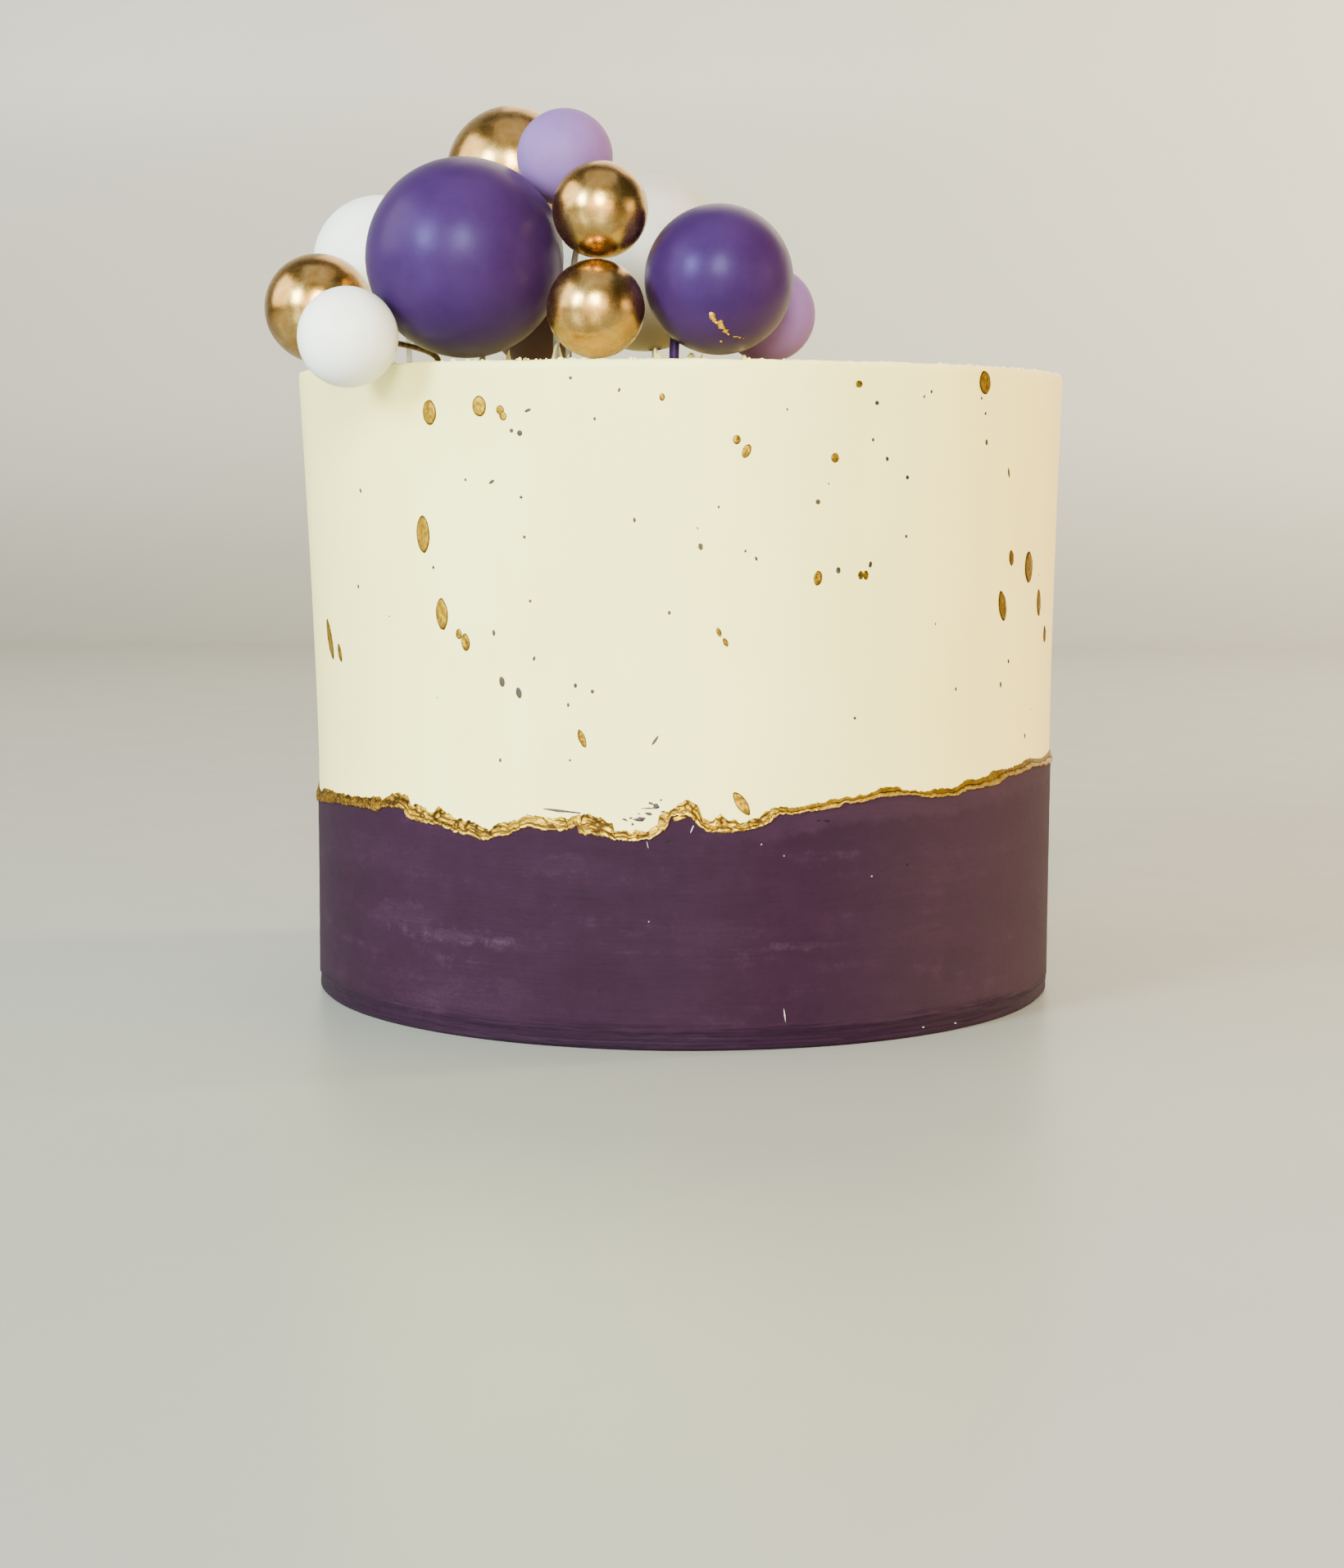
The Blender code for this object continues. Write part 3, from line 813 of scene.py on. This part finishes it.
        # painted shadow along the lower border under the lip, and along the top where it is crinkled
        fold -= 0.30 * (1 - ease(0.0, 0.06, across)) + 0.25 * crinkled * ease(0.88, 1.0, across)
        shadesAndTones.append(max(0.0, min(1.0, fold)))
        # how much painted highlight the lip gets
        lipHighlights.append(max(0.0, min(1.0, 0.42 * lipped * (1 - crease) * (0.75 + 0.4 * lump))))
        wall = outer + (wallRadius(height) - outer) * ease(0.3, 0.7, across)
        return direction * (wall + relief * mm) + Vector((0, 0, height))

    shaped(piece, worked)
    painted(piece, fold=shadesAndTones, lip=lipHighlights)
    smoothed(piece, 60)
    finished(piece, gold, ["gold_edge"])


# Flicked gold paint: angle, height, width and length in mm, and the lean in degrees, where a
# positive one has its top to the left.
splashes = {
    "front": (
        (-65.8, 79.3, 2.4, 8.6, 22), (-61.7, 76.7, 1.4, 3.8, 20), (-38.8, 102.3, 3.0, 7.2, 0),
        (-36.6, 126.5, 2.9, 4.7, 0), (-35.9, 86.3, 2.6, 6.1, 2), (-31.9, 80.8, 1.7, 3.4, 5),
        (-28.2, 127.6, 2.6, 3.8, 0), (-14.3, 62.4, 1.2, 3.6, 20), (7.7, 49.8, 1.8, 5.2, 34),
        (7.2, 121.1, 1.3, 1.7, 0), (8.5, 118.9, 1.4, 2.7, -25), (18.5, 94.2, 1.5, 2.8, -8),
        (20.8, 117.7, 1.4, 1.8, 0), (46.6, 133.2, 3.0, 4.4, 12), (52.9, 87.6, 2.4, 6.1, 15),
        (55.1, 97.5, 1.5, 3.1, 10), (61.2, 95.4, 3.4, 6.2, 6), (66.2, 87.6, 2.2, 5.4, 8)),
    "specks": (
        (-25.0, 126.8, 1.4, 1.8, 10), (-24.6, 125.6, 1.3, 1.6, 0), (-33.0, 82.4, 1.2, 2.0, 4),
        (-2.6, 129.2, 0.9, 1.4, 0), (24.9, 94.7, 1.0, 1.6, 0), (25.7, 94.7, 1.0, 1.8, 0),
        (4.7, 83.7, 0.8, 1.8, 20), (5.6, 81.7, 0.8, 1.8, 24), (70.3, 80.6, 1.6, 3.4, 4),
        (24.2, 132.1, 1.2, 1.3, 0), (90.0, 126.5, 1.1, 3.0, 0)),
    "spread": (1.22, 1.08),  # how far the paint runs beyond its measured width and length
    "backCount": 12,
    "backSpan": (84, 276),
    "backSeed": 5,
    "relief": 0.30 * mm,
    "sides": 26,
}
dots = {
    "front": (
        (-20.9, 126.7, 1.2, 0.6, 20), (-23.4, 122.8, 0.7, 0.8, 0), (-22.2, 122.3, 1.0, 1.1, 0),
        (21.5, 95.7, 0.9, 1.3, 0), (26.4, 96.8, 0.7, 1.3, -10), (-4.1, 62.3, 0.5, 2.4, -35),
        (-26.1, 73.2, 1.1, 2.0, 8), (-23.5, 71.1, 1.1, 2.1, 10), (-30.9, 113.2, 0.5, 0.6, 0),
        (-26.7, 112.8, 1.2, 0.6, 28), (-54.4, 91.1, 0.6, 0.8, 0), (-6.5, 105.5, 0.5, 1.0, 8),
        (-22.3, 109.8, 0.6, 0.6, 0), (-22.0, 102.0, 0.6, 0.6, 0), (-21.4, 89.4, 0.5, 0.6, 0),
        (-15.1, 72.9, 0.6, 0.9, 0), (-12.7, 71.8, 0.6, 0.8, 0), (-16.2, 69.0, 0.5, 0.8, 0),
        (-26.7, 57.4, 0.5, 0.8, 0), (-16.1, 58.0, 0.4, 0.5, 0), (26.5, 121.3, 0.5, 0.7, 0),
        (28.8, 117.6, 0.6, 0.9, 10), (32.2, 114.0, 0.7, 0.8, 0), (18.4, 109.1, 0.9, 1.1, 0),
        (4.8, 108.2, 0.6, 1.2, -10), (1.9, 103.9, 0.5, 0.8, 12), (2.3, 100.4, 0.9, 1.5, 12),
        (9.8, 98.1, 0.5, 1.0, 20), (32.2, 102.3, 0.5, 0.7, 0), (47.5, 121.2, 0.7, 1.2, 5),
        (53.5, 115.1, 0.6, 2.0, 14), (42.1, 71.1, 0.5, 0.8, 0), (53.0, 71.2, 0.6, 1.2, 6),
        (14.0, 127.0, 0.5, 0.7, 0), (27.0, 128.5, 0.8, 0.8, 0), (36.0, 131.0, 0.5, 0.7, 0)),
    "scatter": 26,  # more of the smallest ones, in front and at the sides
    "backScatter": 30,
    "seed": 17,
    "relief": 0.12 * mm,
    "sides": 12,
}


def backSplashes():
    draw = random.Random(splashes["backSeed"])
    first, last = splashes["backSpan"]
    step = (last - first) / splashes["backCount"]
    found = []
    for index in range(splashes["backCount"]):
        angle = first + (index + draw.uniform(0.1, 0.9)) * step
        width = draw.uniform(1.3, 2.9)
        length = width * draw.uniform(1.3, 2.4)
        found.append((angle, draw.uniform(60, 128), width, length, draw.uniform(-15, 20)))
    return found


def scatteredDots():
    draw = random.Random(dots["seed"])
    found = []
    for count, first, last in ((dots["scatter"], -75, 75), (dots["backScatter"], 80, 280)):
        for index in range(count):
            width = draw.uniform(0.28, 0.62)
            found.append((draw.uniform(first, last), draw.uniform(58, 133), width,
                          width * draw.uniform(1.0, 2.2), draw.uniform(-25, 25)))
    return found


def dropAt(template, spot, relief, put, ragged, glow):
    # one flat drop, wrapped on the wall, with a dark rim and a mottled middle
    angle, height, width, length, lean = spot
    piece = copied(template, "drop")
    tilt = math.radians(lean)
    slim = min(1.0, max(0.0, length / width - 1.3))
    spread = (1, 1) if put else splashes["spread"]
    seed = angle * 0.37 + height
    strong = 0.45 + 0.55 * ease(0.8, 2.2, width)
    shadesAndTones = []

    def onTheWall(right, rise, thick):
        high = height * mm + rise
        return onWall(angle + math.degrees(right / wallRadius(high)), high, thick)

    def laid(point):
        turn = Vector((point.x, point.y, 0))
        away = turn.length
        wobble = 1 + ragged * rough(turn * mm, 0.55, seed)
        wobble += ragged * 0.6 * rough(turn * mm, 0.25, seed)
        across, up = point.x * wobble, point.y * wobble
        across *= 1 - 0.22 * slim * up * up
        across, up = across * width / 2 * spread[0] * mm, up * length / 2 * spread[1] * mm
        right = across * math.cos(tilt) - up * math.sin(tilt)
        rise = across * math.sin(tilt) + up * math.cos(tilt)
        place = Vector((right, rise, 0))
        hammered = rough(place, 0.75, seed) + 0.6 * rough(place, 0.38, seed + 3)
        thick = point.z * relief
        if point.z > 0.5:
            thick *= 0.82 + 0.34 * hammered
        inner = 1 - ease(0.80, 0.95, away)
        fold = glow + 0.10 + 0.34 * inner * strong + 0.26 * inner * hammered
        shadesAndTones.append(max(0.0, min(1.0, fold)))
        return (put or onTheWall)(right, rise, thick)

    shaped(piece, laid)
    painted(piece, fold=shadesAndTones)
    return piece


def drops(name, spots, sides, rings, relief, material, slot, ragged=0.05, put=None, glow=0.0):
    template = pulledUp("drop", rings, sides)
    parts = []
    for spot in spots:
        thick = relief * min(1, spot[2] / 2.2 + 0.25)  # the narrower, the thinner
        parts.append(dropAt(template, spot, thick, put(spot) if put else None, ragged, glow))
    bpy.data.objects.remove(template)
    piece = joined(name, parts)
    smoothed(piece, 70)
    finished(piece, material)


# The profiles of a drop, as shares of its width and its relief.
discRings = [
    (0.96, -0.5), (1.0, 0.0), (0.985, 0.35), (0.93, 0.72), (0.82, 0.92), (0.66, 1.0),
    (0.5, 1.0), (0.34, 1.0), (0.18, 1.0), (0.05, 1.0)]
dotRings = [(0.94, -0.8), (1.0, 0.0), (0.9, 0.7), (0.6, 1.0), (0.2, 1.05)]


def makeSplashes():
    spots = [*splashes["front"], *splashes["specks"], *backSplashes()]
    drops("goldSplashes", spots, splashes["sides"], discRings, splashes["relief"], gold, "gold_paint")
    spots = [*dots["front"], *scatteredDots()]
    drops("paintDots", spots, dots["sides"], dotRings, dots["relief"], dotGold, "gold_paint")


# Small bits on the coats: angle, height, width, length in mm and lean in degrees.
bits = {
    "fibres": (
        (0.9, 44.8, 0.22, 2.0, -22), (-5.2, 41.6, 0.19, 1.5, 14), (14.0, 6.9, 0.22, 2.6, 8),
        (10.5, 41.6, 0.30, 0.30, 0), (13.7, 39.2, 0.20, 0.34, 5), (27.0, 34.2, 0.32, 0.28, -10),
        (36.4, 1.9, 0.42, 0.26, 0), (42.9, 1.6, 0.42, 0.26, 10), (-5.0, 26.2, 0.20, 0.30, 0)),
    # dark specks of painted shade, for small pits in the coat
    "flecks": (
        (-2.5, 42.4, 0.8, 0.7, 40), (19.9, 45.9, 1.3, 0.45, -8), (18.7, 46.0, 0.5, 0.3, 0),
        (-42.0, 38.0, 0.5, 0.4, 0), (33.0, 36.0, 0.5, 0.35, 0), (-12.0, 12.0, 0.4, 0.4, 0)),
    "scrapes": (
        (-4.8, 49.8, 1.0, 0.4, -15), (-4.1, 49.2, 1.2, 1.0, -30), (-5.1, 48.8, 2.8, 0.24, 2),
        (-5.1, 47.7, 1.4, 0.6, -5), (-6.3, 46.6, 2.1, 0.9, 6), (-7.5, 46.8, 0.7, 0.4, 0),
        (-8.4, 46.5, 1.0, 0.4, -20), (-7.3, 45.6, 0.5, 0.6, 0), (-3.4, 50.5, 0.4, 0.5, 20),
        (-6.4, 47.7, 0.5, 0.3, 0), (-17.2, 47.75, 6.2, 0.55, -3.5), (-3.1, 48.2, 0.9, 0.3, 10)),
    "knobs": ((-0.9, 46.9, 2.4, 1.1, 14), (1.6, 47.7, 0.8, 0.6, 0)),
    # azimuth and elevation on the right purple ball instead of angle and height
    "flakes": (
        (-7.0, -32.4, 1.3, 1.9, 8), (-5.4, -35.2, 0.9, 1.1, 30), (-1.0, -37.4, 1.6, 0.8, 10),
        (2.4, -41.6, 1.0, 2.1, 30), (0.2, -40.2, 0.9, 0.9, 60), (6.8, -46.2, 1.0, 1.1, 40),
        (10.6, -49.1, 0.6, 0.5, 20), (19.5, -51.6, 1.0, 0.24, 12), (26.6, -52.4, 0.5, 0.24, 0),
        (32.0, -53.2, 0.4, 0.24, 0), (2.8, -57.7, 0.5, 0.4, 0)),
    "sides": 12,
}


def onPurple(spot):
    def put(right, rise, thick):
        turn = math.radians(spot[0]) + right / cake["purpleRadius"]
        out = cake["purpleRadius"] + thick
        return Vector((out * math.sin(turn), -out * math.cos(turn), spot[1] * mm + rise))
    return put


def onBall(spot):
    diameter, centre = topper["purple_right"][1:3]
    radius = diameter / 2 * mm

    def put(right, rise, thick):
        tilt = math.radians(spot[1]) + rise / radius
        turn = math.radians(spot[0]) + right / (radius * math.cos(tilt))
        return Vector(centre) * mm + towards(turn, tilt) * (radius - 0.04 * mm + thick)
    return put


def makeBits():
    # piece, bits, relief in mm, finish and slot, then how ragged, laid how and how bright
    rows = (
        ("icingFibres", "fibres", 0.30, fibreWhite, "icing_ivory", 0.4, onPurple, 0.0),
        ("purpleFlecks", "flecks", 0.24, pitShadeDark, "icing_purple", 0.5, onPurple, 0.0),
        ("scrapedMarks", "scrapes", 0.18, scrapeGrey, "icing_purple", 0.6, None, 0.0),
        ("goldKnobs", "knobs", 0.55, gold, "gold_paint", 0.5, None, 0.0),
        ("goldFlakes", "flakes", 0.40, gold, "gold_paint", 0.9, onBall, 0.4))
    for name, key, relief, material, slot, *how in rows:
        drops(name, bits[key], bits["sides"], dotRings, relief * mm, material, slot, *how)


makePurpleCoat()
makeIvoryCoat()
print("both coats are up")
makeGoldEdge()
print("the torn edge is gilded")
makeSplashes()
print("the splashes are on")


# The topper: colour, diameter and centre of each ball in mm, then its pick's finish,
# thickness and foot.
topper = {
    "white_front": ("white", 20.0, (-67.0, -72.2, 141.1), "pick_bronze", 1.3, (-52, -40)),
    "gold_left": ("gold", 25.0, (-83.9, 14.1, 152.3), "pick_bronze", 1.3, (-72, 9)),
    "white_rear_left": ("white", 31.4, (-72.7, 39.6, 164.8), "pick_white", 1.3, (-65, 32)),
    "purple_large": ("purple", 40.0, (-44.8, -59.8, 157.6), "pick_white", 1.3, (-42, -50)),
    "gold_top": ("gold", 30.0, (-39.4, 11.4, 182.5), "pick_white", 1.3, (-37, 7)),
    "lilac_top": ("lilac", 19.7, (-25.0, -50.0, 178.7), "pick_white", 1.3, (-27, -46)),
    "gold_upper": ("gold", 19.2, (-17.3, -69.0, 166.3), "pick_white", 1.3, (-24, -57)),
    "gold_lower": ("gold", 19.6, (-18.1, -72.0, 146.8), "pick_white", 1.3, (-19, -63)),
    "purple_shaded": ("purple", 20.0, (-32.0, -27.0, 147.2), "pick_white", 1.3, (-30, -21)),
    "white_large": ("white", 40.0, (-9.4, 11.2, 162.6), "pick_white", 1.3, (-7, 8)),
    "purple_right": ("purple", 30.0, (6.3, -63.8, 153.2), "ball_purple", 2.0, (-2.6, -61)),
    "lilac_right": ("lilac", 20.0, (16.9, -40.8, 147.8), "pick_white", 1.3, (15, -35)),
}
ballShape = {
    "around": 96,
    "dent": 0.05 * mm,
    "foilDent": 0.09 * mm,
    "inBall": 1.6 * mm,  # how deep a pick goes into its ball
    "inIcing": 1.2 * mm,
}


def pickPath(diameter, centre, foot):
    # the knee just over the icing, the bend, and the point where the pick meets its ball
    centre = Vector(centre) * mm
    knee = Vector((foot[0] * mm, foot[1] * mm, cake["height"] + 1.3 * mm))
    bend = Vector((knee.x, knee.y, centre.z))
    radius = diameter / 2 * mm

    def along(share):
        return knee.lerp(bend, share).lerp(bend.lerp(centre, share), share)

    share = 1.0
    while share > 0.02 and (along(share) - centre).length < radius - ballShape["inBall"]:
        share -= 0.004
    return knee, bend, share, along(share), centre


def ballTemplate():  # a round core with a small socket at the bottom where the pick goes in
    bpy.ops.mesh.primitive_uv_sphere_add(segments=ballShape["around"], ring_count=64, radius=1)
    piece = named("ball")
    bpy.ops.object.mode_set(mode="EDIT")
    bpy.ops.mesh.select_mode(type="FACE")
    bpy.ops.mesh.select_all(action="DESELECT")
    bpy.ops.object.mode_set(mode="OBJECT")
    for face in piece.data.polygons:
        face.select = face.center.z < -0.9965
    bpy.ops.object.mode_set(mode="EDIT")
    bpy.ops.mesh.inset(thickness=0.012, depth=0.010)
    bpy.ops.mesh.inset(thickness=0.014, depth=0.0)
    bpy.ops.mesh.inset(thickness=0.008, depth=-0.045)
    closeUp(piece)
    return piece


def makeTopper():
    template = ballTemplate()
    for name, (colour, diameter, centre, pickFinish, thickness, foot) in topper.items():
        radius = diameter / 2 * mm
        knee, bend, share, end, middle = pickPath(diameter, centre, foot)
        words = "".join(part.capitalize() for part in name.split("_"))
        ball = copied(template, "ball" + words)
        ball.rotation_mode = "QUATERNION"
        ball.rotation_quaternion = Vector((0, 0, -1)).rotation_difference((end - middle).normalized())
        ball.scale = (radius,) * 3
        ball.location = middle
        only(ball)
        bpy.ops.object.transform_apply(location=True, rotation=True, scale=True)
        dent = ballShape["foilDent"] if colour == "gold" else ballShape["dent"]

        def pressed(point):
            out = point - middle
            give = dent * (rough(point, 9, 71) + 0.4 * rough(point, 3.2, 72) - 1.2)
            return point + out.normalized() * give

        shaped(ball, pressed)
        smoothed(ball, 30)
        # the large white ball takes a paint with painted shade, the shaded purple ball one with painted
        # light
        paint = ballPaints[{"white_large": "pearl", "purple_shaded": "plum"}.get(name, colour)]
        finished(ball, paint, ["ball_" + name])

        bpy.ops.curve.primitive_bezier_curve_add(location=(0, 0, 0))
        pick = named("pick" + words)
        spline = pick.data.splines[0]
        spline.bezier_points.add(1)
        foot3 = Vector((knee.x, knee.y, cake["height"] - ballShape["inIcing"]))
        first, second, last = spline.bezier_points
        for point in spline.bezier_points:
            point.handle_left_type = point.handle_right_type = "FREE"
        control = knee.lerp(bend, share)
        first.co, second.co, last.co = foot3, knee, end
        first.handle_left, first.handle_right = foot3 - Vector((0, 0, mm)), foot3.lerp(knee, 0.4)
        second.handle_left, second.handle_right = foot3.lerp(knee, 0.6), knee.lerp(control, 2 / 3)
        last.handle_left, last.handle_right = end.lerp(control, 2 / 3), end + (end - control) * 0.1
        pick.data.resolution_u = 16
        pick.data.bevel_depth = thickness / 2 * mm
        pick.data.bevel_resolution = 3
        pick.data.use_fill_caps = True
        only(pick)
        bpy.ops.object.convert(target="MESH")
        smoothed(pick, 40)
        finished(pick, pickPaints[pickFinish], ["pick_" + name])
    bpy.data.objects.remove(template)


makeTopper()
makeBits()
print("the topper is in, and the small bits are on")


# Torn icing round the picks' feet: x, y, width, height and lean to the right, in mm.
tufts = {
    "seen": (
        (-36.8, -48, 2.6, 3.1, 0.1), (-37.8, -47, 2.0, 1.7, -0.3), (-33.6, -45, 1.9, 1.9, 0.3),
        (-27.4, -55, 1.6, 4.4, 1.0), (-25.4, -56, 1.5, 3.8, -0.7), (-24.2, -58, 1.6, 2.2, 0.4),
        (-5.6, -54, 3.9, 2.7, 0.0), (-6.2, -54, 2.4, 3.5, -0.4), (-4.6, -55, 1.7, 2.6, 0.5),
        (0.7, -60, 5.8, 2.3, 0.2), (2.6, -60, 1.8, 2.0, 0.6), (11.5, -62, 4.2, 1.8, 0.0),
        (-82.0, -14, 2.2, 1.5, 0.0), (-81.4, -12, 1.3, 1.2, 0.3)),
    "profile": [
        (1.0, 0.0), (0.92, 0.12), (0.70, 0.26), (0.52, 0.42), (0.40, 0.58), (0.28, 0.74),
        (0.17, 0.88), (0.06, 1.0)],
    "perFoot": 4,
    "seed": 29,
}


def tuftAt(template, x, y, width, height, lean, seed):
    piece = copied(template, "tuft")

    def torn(point):
        share = point.z
        spread = width / 2 * mm * (1 + 0.35 * rough(point * mm, 0.7, seed))
        frayed = 0.3 * mm * share
        across = point.x * spread + lean * share * share * mm
        across += frayed * rough(point * mm, 0.5, seed + 4)
        along = point.y * spread * 0.8 + frayed * rough(point * mm, 0.5, seed + 9)
        rise = share * height * mm * (1 + 0.15 * rough(point * mm, 0.4, seed + 2))
        return Vector((x * mm + across, y * mm + along, cake["height"] - 0.6 * mm + rise))

    shaped(piece, torn)
    return piece


def makeTufts():
    template = pulledUp("tuft", tufts["profile"], 14)
    draw = random.Random(tufts["seed"])
    parts = []
    for index, (x, y, width, height, lean) in enumerate(tufts["seen"]):
        parts.append(tuftAt(template, x, y, width, height + 0.6, lean, 3.1 * index))
    for *ball, thickness, foot in topper.values():
        for index in range(tufts["perFoot"]):
            turn = draw.uniform(0, 2 * math.pi)
            out = thickness / 2 + draw.uniform(0.1, 0.7)
            x, y = foot[0] + out * math.cos(turn), foot[1] + out * math.sin(turn)
            parts.append(tuftAt(template, x, y, draw.uniform(1.0, 2.0), draw.uniform(0.9, 1.9),
                                0.5 * math.cos(turn), draw.uniform(0, 50)))
    bpy.data.objects.remove(template)
    piece = joined("icingTufts", parts)
    smoothed(piece, 60)
    finished(piece, ivory)


# Loose crumbs of icing along the rim and over the top.
crumbs = {
    "rim": 170,
    "top": 120,
    "seed": 41,
    "sizes": (0.22, 0.62),
    # angle round the rim and size in mm, of the ones that stand out
    "seen": (
        (-32.4, 0.9), (-30.2, 0.7), (-22.2, 1.0), (-16.4, 0.9), (-68, 0.9), (9, 0.7), (38, 0.7),
        (57, 0.6)),
}


def makeCrumbs():
    bpy.ops.mesh.primitive_ico_sphere_add(subdivisions=2, radius=1)
    template = named("crumb")
    draw = random.Random(crumbs["seed"])
    parts = []
    for index in range(-len(crumbs["seen"]), crumbs["rim"] + crumbs["top"]):
        size = draw.uniform(*crumbs["sizes"]) * mm / 2
        turn = draw.uniform(0, 2 * math.pi)
        out = cake["rimRadius"] - draw.uniform(0.5, 1.6) * mm
        if index < 0:
            turn, size = math.radians(crumbs["seen"][index][0]), crumbs["seen"][index][1] * mm / 2
        if index >= crumbs["rim"]:
            out = cake["rimRadius"] * math.sqrt(draw.uniform(0.02, 0.95))
            size *= 1.2
        stretch = Vector((draw.uniform(0.7, 1.4), draw.uniform(0.7, 1.4), draw.uniform(0.6, 1.0)))
        centre = Vector((cake["rimLean"] + out * math.sin(turn), -out * math.cos(turn), cake["height"]))
        seed = draw.uniform(0, 90)
        piece = copied(template, "crumb")

        def broken(point):
            rugged = size * (1 + 0.5 * rough(point * mm, 0.9, seed))
            return centre + Vector((a * b * rugged for a, b in zip(point, stretch)))

        shaped(piece, broken)
        parts.append(piece)
    bpy.data.objects.remove(template)
    piece = joined("icingCrumbs", parts)
    smoothed(piece, 50)
    finished(piece, ivory)


makeTufts()
makeCrumbs()
print("torn icing and crumbs are on top")


# The studio: a pale floor that sweeps up behind, two window panes behind the camera and at
# the left, and warm light from the right.
studio = {
    "floorColour": (0.272, 0.286, 0.268),
    "wallColour": (0.405, 0.43, 0.41),
    "unmirrored": ("warmSide",),  # a dull bounce that the gold balls don't mirror
    "backY": 1.25,
    "sweep": 0.45,
    "reach": 3.2,
    "wallHeight": 2.6,
    "aim": (0, 0, 0.11),  # the point that the lights face
    "world": (1.0, 0.97, 0.94),
    "worldPower": 0.09,
    # a lamp that only brightens the wall at the right: place, aim, size, power, colour
    "wallLamp": ((1.7, 0.5, 0.8), (0.75, 1.7, 0.65), 0.5, 125, (1.0, 0.80, 0.56)),
    # azimuth from -Y towards +X, elevation, distance, width, height, power, colour
    "lights": {
        "windowLeftPane": (-43, 19, 1.7, 0.38, 0.60, 62, (0.80, 0.96, 1.0)),
        "windowRightPane": (0, 19, 1.7, 0.38, 0.60, 60, (0.92, 0.98, 0.78)),
        "warmSide": (80, 12, 1.6, 1.3, 1.2, 35, (1.0, 0.37, 0.0)),
        "leftFill": (-84, 25, 1.6, 1.2, 1.2, 27, (1.0, 0.98, 0.88)),
        "frontFill": (0, 6, 2.4, 2.6, 1.2, 60, (1.0, 0.75, 0.54)),
        "rightGlow": (75, 8, 1.8, 0.7, 0.5, 5, (1.0, 0.80, 0.52)),
        "overhead": (0, 75, 2.0, 1.8, 1.8, 11, (0.92, 0.88, 0.90)),
        "backFill": (165, 40, 1.3, 0.9, 0.9, 6, (1.0, 0.84, 0.66)),
    },
}


def areaLight(name, place, away, size, power, colour, mirrored):
    bpy.ops.object.light_add(type="AREA", location=place)
    light = named(name)
    light.data.shape = "RECTANGLE"
    light.data.size, light.data.size_y = size
    light.data.energy = power
    light.data.color = colour
    light.rotation_euler = away.to_track_quat("Z", "Y").to_euler()
    light.visible_glossy = mirrored


def makeStudio():
    floorLook = Finish("studioFloor", {"Specular IOR Level": 0.4})
    clouds = floorLook.cloud(400, 3)
    upTheWall = floorLook.span(floorLook.axis("Z"), 0.0, 0.2)
    colour = floorLook.mix(upTheWall, studio["floorColour"], studio["wallColour"])
    floorLook.shade({
        "Base Color": floorLook.mix(clouds * 0.05, colour, (0.0, 0.0, 0.0)),
        "Roughness": 0.34 + (floorLook.cloud(30, 3) - 0.5) * 0.1})
    reach, back, sweep = studio["reach"], studio["backY"], studio["sweep"]
    bpy.ops.mesh.primitive_plane_add(size=2, location=(0, 0, 0))
    floor = named("studioSweep")
    floor.scale = (reach, (reach + back) / 2, 1)
    floor.location = (0, (back - reach) / 2, 0)
    bpy.ops.object.transform_apply(location=True, rotation=True, scale=True)
    bpy.ops.object.mode_set(mode="EDIT")
    bpy.ops.mesh.select_all(action="DESELECT")
    bpy.ops.mesh.select_mode(type="EDGE")
    bpy.ops.object.mode_set(mode="OBJECT")
    for line in floor.data.edges:
        line.select = all(floor.data.vertices[v].co.y > back - 0.01 for v in line.vertices)
    bpy.ops.object.mode_set(mode="EDIT")
    steps = 24
    for step in range(steps):
        before, after = [math.radians(90 * s / steps) for s in (step, step + 1)]
        inwards, upwards = math.sin(after) - math.sin(before), math.cos(before) - math.cos(after)
        move = (0, sweep * inwards, sweep * upwards)
        bpy.ops.mesh.extrude_region_move(TRANSFORM_OT_translate={"value": move})
    move = (0, 0, studio["wallHeight"])
    bpy.ops.mesh.extrude_region_move(TRANSFORM_OT_translate={"value": move})
    closeUp(floor)
    if floor.data.polygons[0].normal.z < 0:
        floor.data.flip_normals()
    smoothed(floor, 30)
    floor.data.materials.append(floorLook.material)

    aim = Vector(studio["aim"])
    for name, (azimuth, elevation, distance, *size, power, colour) in studio["lights"].items():
        away = towards(math.radians(azimuth), math.radians(elevation))
        mirrored = name not in studio["unmirrored"]
        areaLight(name, aim + away * distance, away, size, power, colour, mirrored)
    place, target, width, power, colour = studio["wallLamp"]
    away = Vector(place) - Vector(target)
    areaLight("wallLamp", place, away, (width, width), power, colour, False)
    world = bpy.data.worlds.new("studioWorld")
    world.use_nodes = True
    world.node_tree.nodes["Background"].inputs["Color"].default_value = (*studio["world"], 1)
    world.node_tree.nodes["Background"].inputs["Strength"].default_value = studio["worldPower"]
    bpy.context.scene.world = world


makeStudio()
print("the studio is lit")

bpy.context.view_layer.update()
